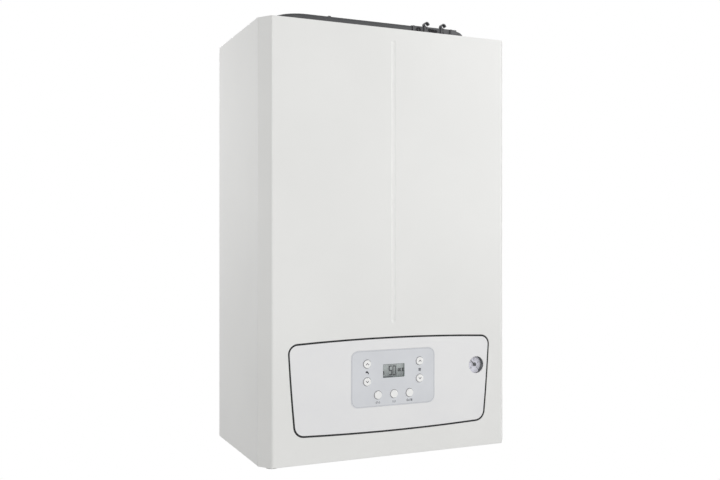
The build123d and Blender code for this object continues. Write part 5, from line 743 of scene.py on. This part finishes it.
ticks = []
tickCount = dialPrint["highest"] * dialPrint["ticksEach"]
for step in range(tickCount + 1):
    angle = dial["start"] - step * dial["sweep"] / tickCount
    inner = dialPrint["longTick"] if step % dialPrint["ticksEach"] == 0 else dialPrint["shortTick"]
    ticks.append((onDial(angle, inner), onDial(angle, dialPrint["tickEnd"])))
inkStrokes("dialTicks", ticks, dialPrint["tickLine"], dial["print"], "darkScreenInk", "dashboard")
# painted shadow: dark ink arcs on the right of the dial's rim, where the wall of the recess shades it
zones = [(onDial(a, dialPrint["shadowArcRadius"]), onDial(a + dialPrint["shadowArcStep"], dialPrint["shadowArcRadius"]))
         for start, end in dialPrint["zones"] for a in range(start, end, dialPrint["shadowArcStep"])]
inkStrokes("dialShadowArcs", zones, dialPrint["shadowArcLine"], dial["print"], "darkScreenInk", "dashboard")
numbers = []
for number in range(dialPrint["highest"] + 1):
    x, z = onDial(dial["start"] - number * dial["sweep"] / dialPrint["highest"], dialPrint["numberRadius"])
    clearSelection()
    bpy.ops.object.text_add(location=(x, -dial["print"], z), rotation=facingFront)
    digit = bpy.context.object
    digit.data.body = str(number)
    digit.data.size = dialPrint["numberSize"]
    digit.data.align_x = "CENTER"
    digit.data.align_y = "CENTER"
    digit.data.resolution_u = 3
    bpy.ops.object.convert(target="MESH")
    numbers.append(bpy.context.object)
settle(joinPieces(numbers, "dialNumbers"), "darkScreenInk", "dashboard")
clearSelection()
bpy.ops.mesh.primitive_cylinder_add(vertices=32, radius=needleHub["radius"], depth=needleHub["depth"],
                                    location=(dial["x"], -(needleHub["front"] - needleHub["depth"] / 2), dial["z"]),
                                    rotation=facingFront)
hub = takePrimitive("needleHub")
stepFaces(hub, frontFace, ((needleHub["shoulder"], needleHub["dome"]),), (0, 1, 0))
smoothFaces(hub, 50)
settle(hub, "blackLacquer", "gauge_needle")

# casing screws: pan heads with a cross recess, one modelled and seven copied
screw = {"radius": 4.0 * mm, "height": 2.0 * mm, "shank": 2.0 * mm, "length": 4.8 * mm, "turnBySide": 0.4,
         "turnByDepth": 20}
# shares of a head's height and radius: how much of its rim is round, and the size of each bar of the recess
headShape = {"round": 0.45, "recessLength": 1.15, "recessWidth": 0.24, "recessDepth": 0.55, "nearly": 0.01}
print("casing screws")


def makeScrew(name, radius, height, shank, length):
    # head up, standing on z = 0, with its shank below
    clearSelection()
    bpy.ops.mesh.primitive_cylinder_add(vertices=24, radius=radius, depth=height, location=(0, 0, height / 2))
    head = takePrimitive(name)
    roundFold(head, lambda a, b: min(a.z, b.z) > height * (1 - headShape["nearly"]), height * headShape["round"], 3)
    for turn in (0, 90):
        clearSelection()
        bpy.ops.mesh.primitive_cube_add(size=1, location=(0, 0, height), rotation=(0, 0, radians(turn)))
        cutter = bpy.context.object
        cutter.scale = (radius * headShape["recessLength"], radius * headShape["recessWidth"],
                        2 * height * headShape["recessDepth"])
        applyModifier(head, "BOOLEAN", object=cutter, operation="DIFFERENCE", solver="EXACT")
        bpy.data.objects.remove(cutter)
    pickFaces(head, lambda centre, normal: normal.z < -0.9 and centre.z < height * headShape["nearly"])
    bpy.ops.mesh.inset(thickness=radius - shank)
    bpy.ops.mesh.extrude_region_move(TRANSFORM_OT_translate={"value": (0, 0, -length)})
    bpy.ops.object.mode_set(mode="OBJECT")
    smoothFaces(head)
    return head


def copyPiece(source, name):
    piece = source.copy()
    piece.data = source.data.copy()
    piece.name = name
    bpy.context.collection.objects.link(piece)
    return piece


screwLow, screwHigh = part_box("casing_screws")
screwX = screwHigh.x - screw["radius"]
screwYs = (screwLow.y + screw["radius"], screwHigh.y - screw["radius"])
pattern = makeScrew("screwPattern", screw["radius"], screw["height"], screw["shank"], screw["length"])
screwCopies = []
for side in (-1, 1):
    for y in screwYs:
        for up in (True, False):
            one = copyPiece(pattern, "screwCopy")
            one.location = (side * screwX, y, screwHigh.z - screw["height"] if up else screwLow.z + screw["height"])
            turn = screw["turnBySide"] * side + screw["turnByDepth"] * y
            one.rotation_euler = (0 if up else pi, 0, turn)
            screwCopies.append(one)
bpy.data.objects.remove(pattern)
standFor(joinPieces(screwCopies, "casingScrews"), "casing_screws")

# rubber bushes of the cable bracket, seen as dark rings and dots: x, z and radius in millimetres, width by height
bush = {"thickness": 1.35 * mm, "reach": 0.2044,
        "places": ((62.6, 59.2, 1.7, 1), (62.6, 56.4, 1.5, 1), (72.6, 61.6, 2.9, 1), (94.6, 62.6, 1.5, 1),
                   (100.4, 61.6, 1.7, 1), (106.4, 61.2, 1.6, 1), (104.0, 57.0, 3.0, 1.2), (119.6, 58.4, 1.5, 1))}
print("bushes and catch of the hood")
rubberRings("bracketBushes", [(x * mm, z * mm, radius * mm, widen) for x, z, radius, widen in bush["places"]],
            bush["thickness"], bush["reach"], 28, "root")

# catch moulded on the hood's front edge
catch = {"size": (5 * mm, 4 * mm, 2.6 * mm), "place": (-0.092, -0.1995, 0.0674), "edge": 0.8 * mm}
clearSelection()
bpy.ops.mesh.primitive_cube_add(size=1, location=catch["place"])
tab = takePrimitive("hoodCatch", catch["size"])
roundFold(tab, lambda a, b: max(a.z, b.z) > catch["place"][2], catch["edge"], 3)
smoothFaces(tab)
settle(tab, "mouldedPolypropylene", "root")

# rolled pipe threads, one run round each of the five stubs: its x, the radius of the stub, finish and slot
thread = {"low": -0.6752, "turns": 6, "pitch": 1.8 * mm, "proud": 0.55 * mm, "sink": 0.12 * mm, "stubY": -0.11,
          "steps": 36, "big": 13.2 * mm, "small": 10.5 * mm}
stubs = {"flowThread": (-0.13, "big", "forgedBrass", "brass"),
         "hotThread": (-0.065, "small", "forgedBrass", "brass"),
         "gasThread": (0, "big", "drawnCopper", "copper"),
         "coldThread": (0.065, "small", "forgedBrass", "brass"),
         "returnThread": (0.13, "big", "forgedBrass", "brass")}
print("pipe threads")
for name, (x, size, surface, slotName) in stubs.items():
    clearSelection()
    bpy.ops.mesh.primitive_circle_add(vertices=5, radius=thread["proud"],
                                      location=(thread[size] - thread["sink"], 0, 0), rotation=facingFront)
    run = takePrimitive(name)
    applyModifier(run, "SCREW", axis="Z", angle=2 * pi, screw_offset=thread["pitch"], iterations=thread["turns"],
                  steps=thread["steps"], render_steps=thread["steps"])
    smoothFaces(run, 80)
    run.location = (x, thread["stubY"], thread["low"])
    settle(run, surface, "root")

# screws of the burner door, of the fan motor and of the gas valve: one modelled, the rest copied
fixing = {"radius": 3.4 * mm, "height": 3.0 * mm, "shank": 1.9 * mm, "length": 2.0 * mm, "turnEach": 0.7}
doorScrews = {"top": -0.098, "xs": (-0.100, -0.045, 0.012, 0.071), "ys": (-0.2045, -0.1015)}
motorScrews = {"face": -0.178, "x": 0.140, "z": -0.035, "radius": 0.045, "turns": (30, 150, 270)}
valveScrews = {"face": -0.217, "x": 0.130, "z": -0.190, "halfX": 0.023, "halfZ": 0.028}
print("screws inside")
# each has its place and its tilt in degrees
fixings = [((x, y, doorScrews["top"]), 0) for x in doorScrews["xs"] for y in doorScrews["ys"]]
fixings += [((motorScrews["x"] + motorScrews["radius"] * cos(radians(turn)), motorScrews["face"],
              motorScrews["z"] + motorScrews["radius"] * sin(radians(turn))), 90) for turn in motorScrews["turns"]]
fixings += [((valveScrews["x"] + sideX * valveScrews["halfX"], valveScrews["face"],
              valveScrews["z"] + sideZ * valveScrews["halfZ"]), 90) for sideX in (-1, 1) for sideZ in (-1, 1)]
pattern = makeScrew("screwPattern", fixing["radius"], fixing["height"], fixing["shank"], fixing["length"])
screwCopies = []
for index, (place, tilt) in enumerate(fixings):
    one = copyPiece(pattern, "screwCopy")
    one.location = place
    one.rotation_euler = (radians(tilt), 0, 0 if tilt else index * fixing["turnEach"])
    screwCopies.append(one)
bpy.data.objects.remove(pattern)
settle(joinPieces(screwCopies, "innerScrews"), "zincPlatedSteel", "root")

# turned pieces: coils of the gas valve, vent plug of the pump, caps of the flue's test points
# their sizes are in millimetres, and each step sets the end face in and pushes it
turned = {
    "valveCoil": {"radius": 12, "height": 20, "steps": ((3, 0), (0.5, 3), (4, 0), (0.5, 2)), "tilt": 0,
                  "surface": "glassFilledNylon", "slot": "black_plastic",
                  "places": {"Left": (0.116, -0.178, -0.155), "Right": (0.144, -0.178, -0.155)}},
    "pumpVentPlug": {"radius": 9, "height": 2.5, "steps": ((2, 0), (0.4, -1)), "tilt": 90,
                     "surface": "forgedBrass", "slot": "brass", "places": {"": (0.140, -0.192, -0.490)}},
    "testCap": {"radius": 4.6, "height": 4.5, "steps": ((1, 0), (0.4, 1.4)), "tilt": 0,
                "surface": "extrudedRubber", "slot": "black_rubber",
                "places": {"Left": (-0.028, -0.0665, 0.047), "Right": (0.028, -0.0665, 0.047)}},
}
turnedEdge = 0.3 * mm
print("turned pieces,", len(turned), "shapes")
for name, shape in turned.items():
    clearSelection()
    bpy.ops.mesh.primitive_cylinder_add(vertices=40, radius=shape["radius"] * mm, depth=shape["height"] * mm,
                                        location=(0, 0, shape["height"] * mm / 2))
    pattern = takePrimitive("turnedPattern")
    stepFaces(pattern, lambda centre, normal: normal.z > 0.9,
              [(inset * mm, push * mm) for inset, push in shape["steps"]], (0, 0, 1))
    easeEdges(pattern, turnedEdge, sharpAngle)
    smoothFaces(pattern)
    for side, place in shape["places"].items():
        piece = copyPiece(pattern, name + side)
        piece.location = place
        piece.rotation_euler = (radians(shape["tilt"]), 0, 0)
        settle(piece, shape["surface"], "root")
    bpy.data.objects.remove(pattern)

# foil-faced foam on the inner face of the cover, one sheet on each side of the groove
foam = {"inner": -0.2516, "thickness": 4 * mm, "near": 0.012, "far": 0.192, "low": -0.435, "high": 0.015,
        "edge": 1.5 * mm, "corner": 12 * mm}
print("foam of the cover")
for side, name in ((-1, "foamLeft"), (1, "foamRight")):
    clearSelection()
    bpy.ops.mesh.primitive_cube_add(size=1, location=(side * (foam["near"] + foam["far"]) / 2,
                                                      foam["inner"] + foam["thickness"] / 2,
                                                      (foam["low"] + foam["high"]) / 2))
    sheet = takePrimitive(name, (foam["far"] - foam["near"], foam["thickness"], foam["high"] - foam["low"]))
    roundFold(sheet, lambda a, b: abs(a.y - b.y) > foam["thickness"] / 2, foam["corner"], 5)
    easeEdges(sheet, foam["edge"], 60, 3)
    smoothFaces(sheet, 60)
    settle(sheet, "foilFacedFoam", "front_cover")

# pale painted floor, far below the hanging boiler
ground = {"size": 6, "place": (0, -1, -1.95)}
floorLook = {"colour": "#F0F0EF", "shade": "#EFEFEE", "patchSize": 0.8, "grainSize": 0.004, "roughness": 0.8,
             "bump": 0.05}
print("stage and lights")
clearSelection()
bpy.ops.mesh.primitive_plane_add(size=ground["size"], location=ground["place"])
floor = bpy.context.object
floor.name = "studioFloor"
floor.data.materials.append(makeSurface("mattFloorPaint", floorLook))

# the world: white where the camera or a reflection sees it, and a weak fill everywhere else
skyLevel = {"fill": 0.16, "seen": 1.0}
world = bpy.data.worlds.new("studio")
bpy.context.scene.world = world
world.use_nodes = True
sky = world.node_tree
sky.nodes.clear()
rays = addNode(sky, "ShaderNodeLightPath").outputs
direct = addNode(sky, "ShaderNodeMath", {"operation": "MAXIMUM"},
                 {0: rays["Is Camera Ray"], 1: rays["Is Glossy Ray"]}).outputs[0]
seen = addNode(sky, "ShaderNodeMath", {"operation": "MAXIMUM"},
               {0: direct, 1: rays["Is Transmission Ray"]}).outputs[0]
dim, white = (addNode(sky, "ShaderNodeBackground", {"Color": (1, 1, 1, 1), "Strength": skyLevel[name]}).outputs[0]
              for name in ("fill", "seen"))
both = addNode(sky, "ShaderNodeMixShader", None, {0: seen, 1: dim, 2: white}).outputs[0]
addNode(sky, "ShaderNodeOutputWorld", None, {0: both})

# soft box lamps, with their power in watts
lamps = {
    "rightLamp": {"place": (2.2, -2.0, 0.5), "aim": (0, -0.15, -0.2), "size": 2.0, "power": 44.5},
    "frontLamp": {"place": (-1.2, -2.6, 0.2), "aim": (-0.1, -0.15, -0.2), "size": 1.6, "power": 34},
    "sideLamp": {"place": (-0.95, 0.3, -0.05), "aim": (-0.225, -0.1, -0.08), "size": 0.5, "power": 3.2},
    "backLamp": {"place": (0.6, 2.8, 1.2), "aim": (0, 0, -0.3), "size": 1.8, "power": 50},
}
for name, lamp in lamps.items():
    data = bpy.data.lights.new(name, "AREA")
    data.energy = lamp["power"]
    data.size = lamp["size"]
    holder = bpy.data.objects.new(name, data)
    holder.location = lamp["place"]
    holder.rotation_euler = (Vector(lamp["aim"]) - Vector(lamp["place"])).to_track_quat("-Z", "Y").to_euler()
    holder.visible_camera = False
    bpy.context.collection.objects.link(holder)

bpy.context.view_layer.update()
print("done")
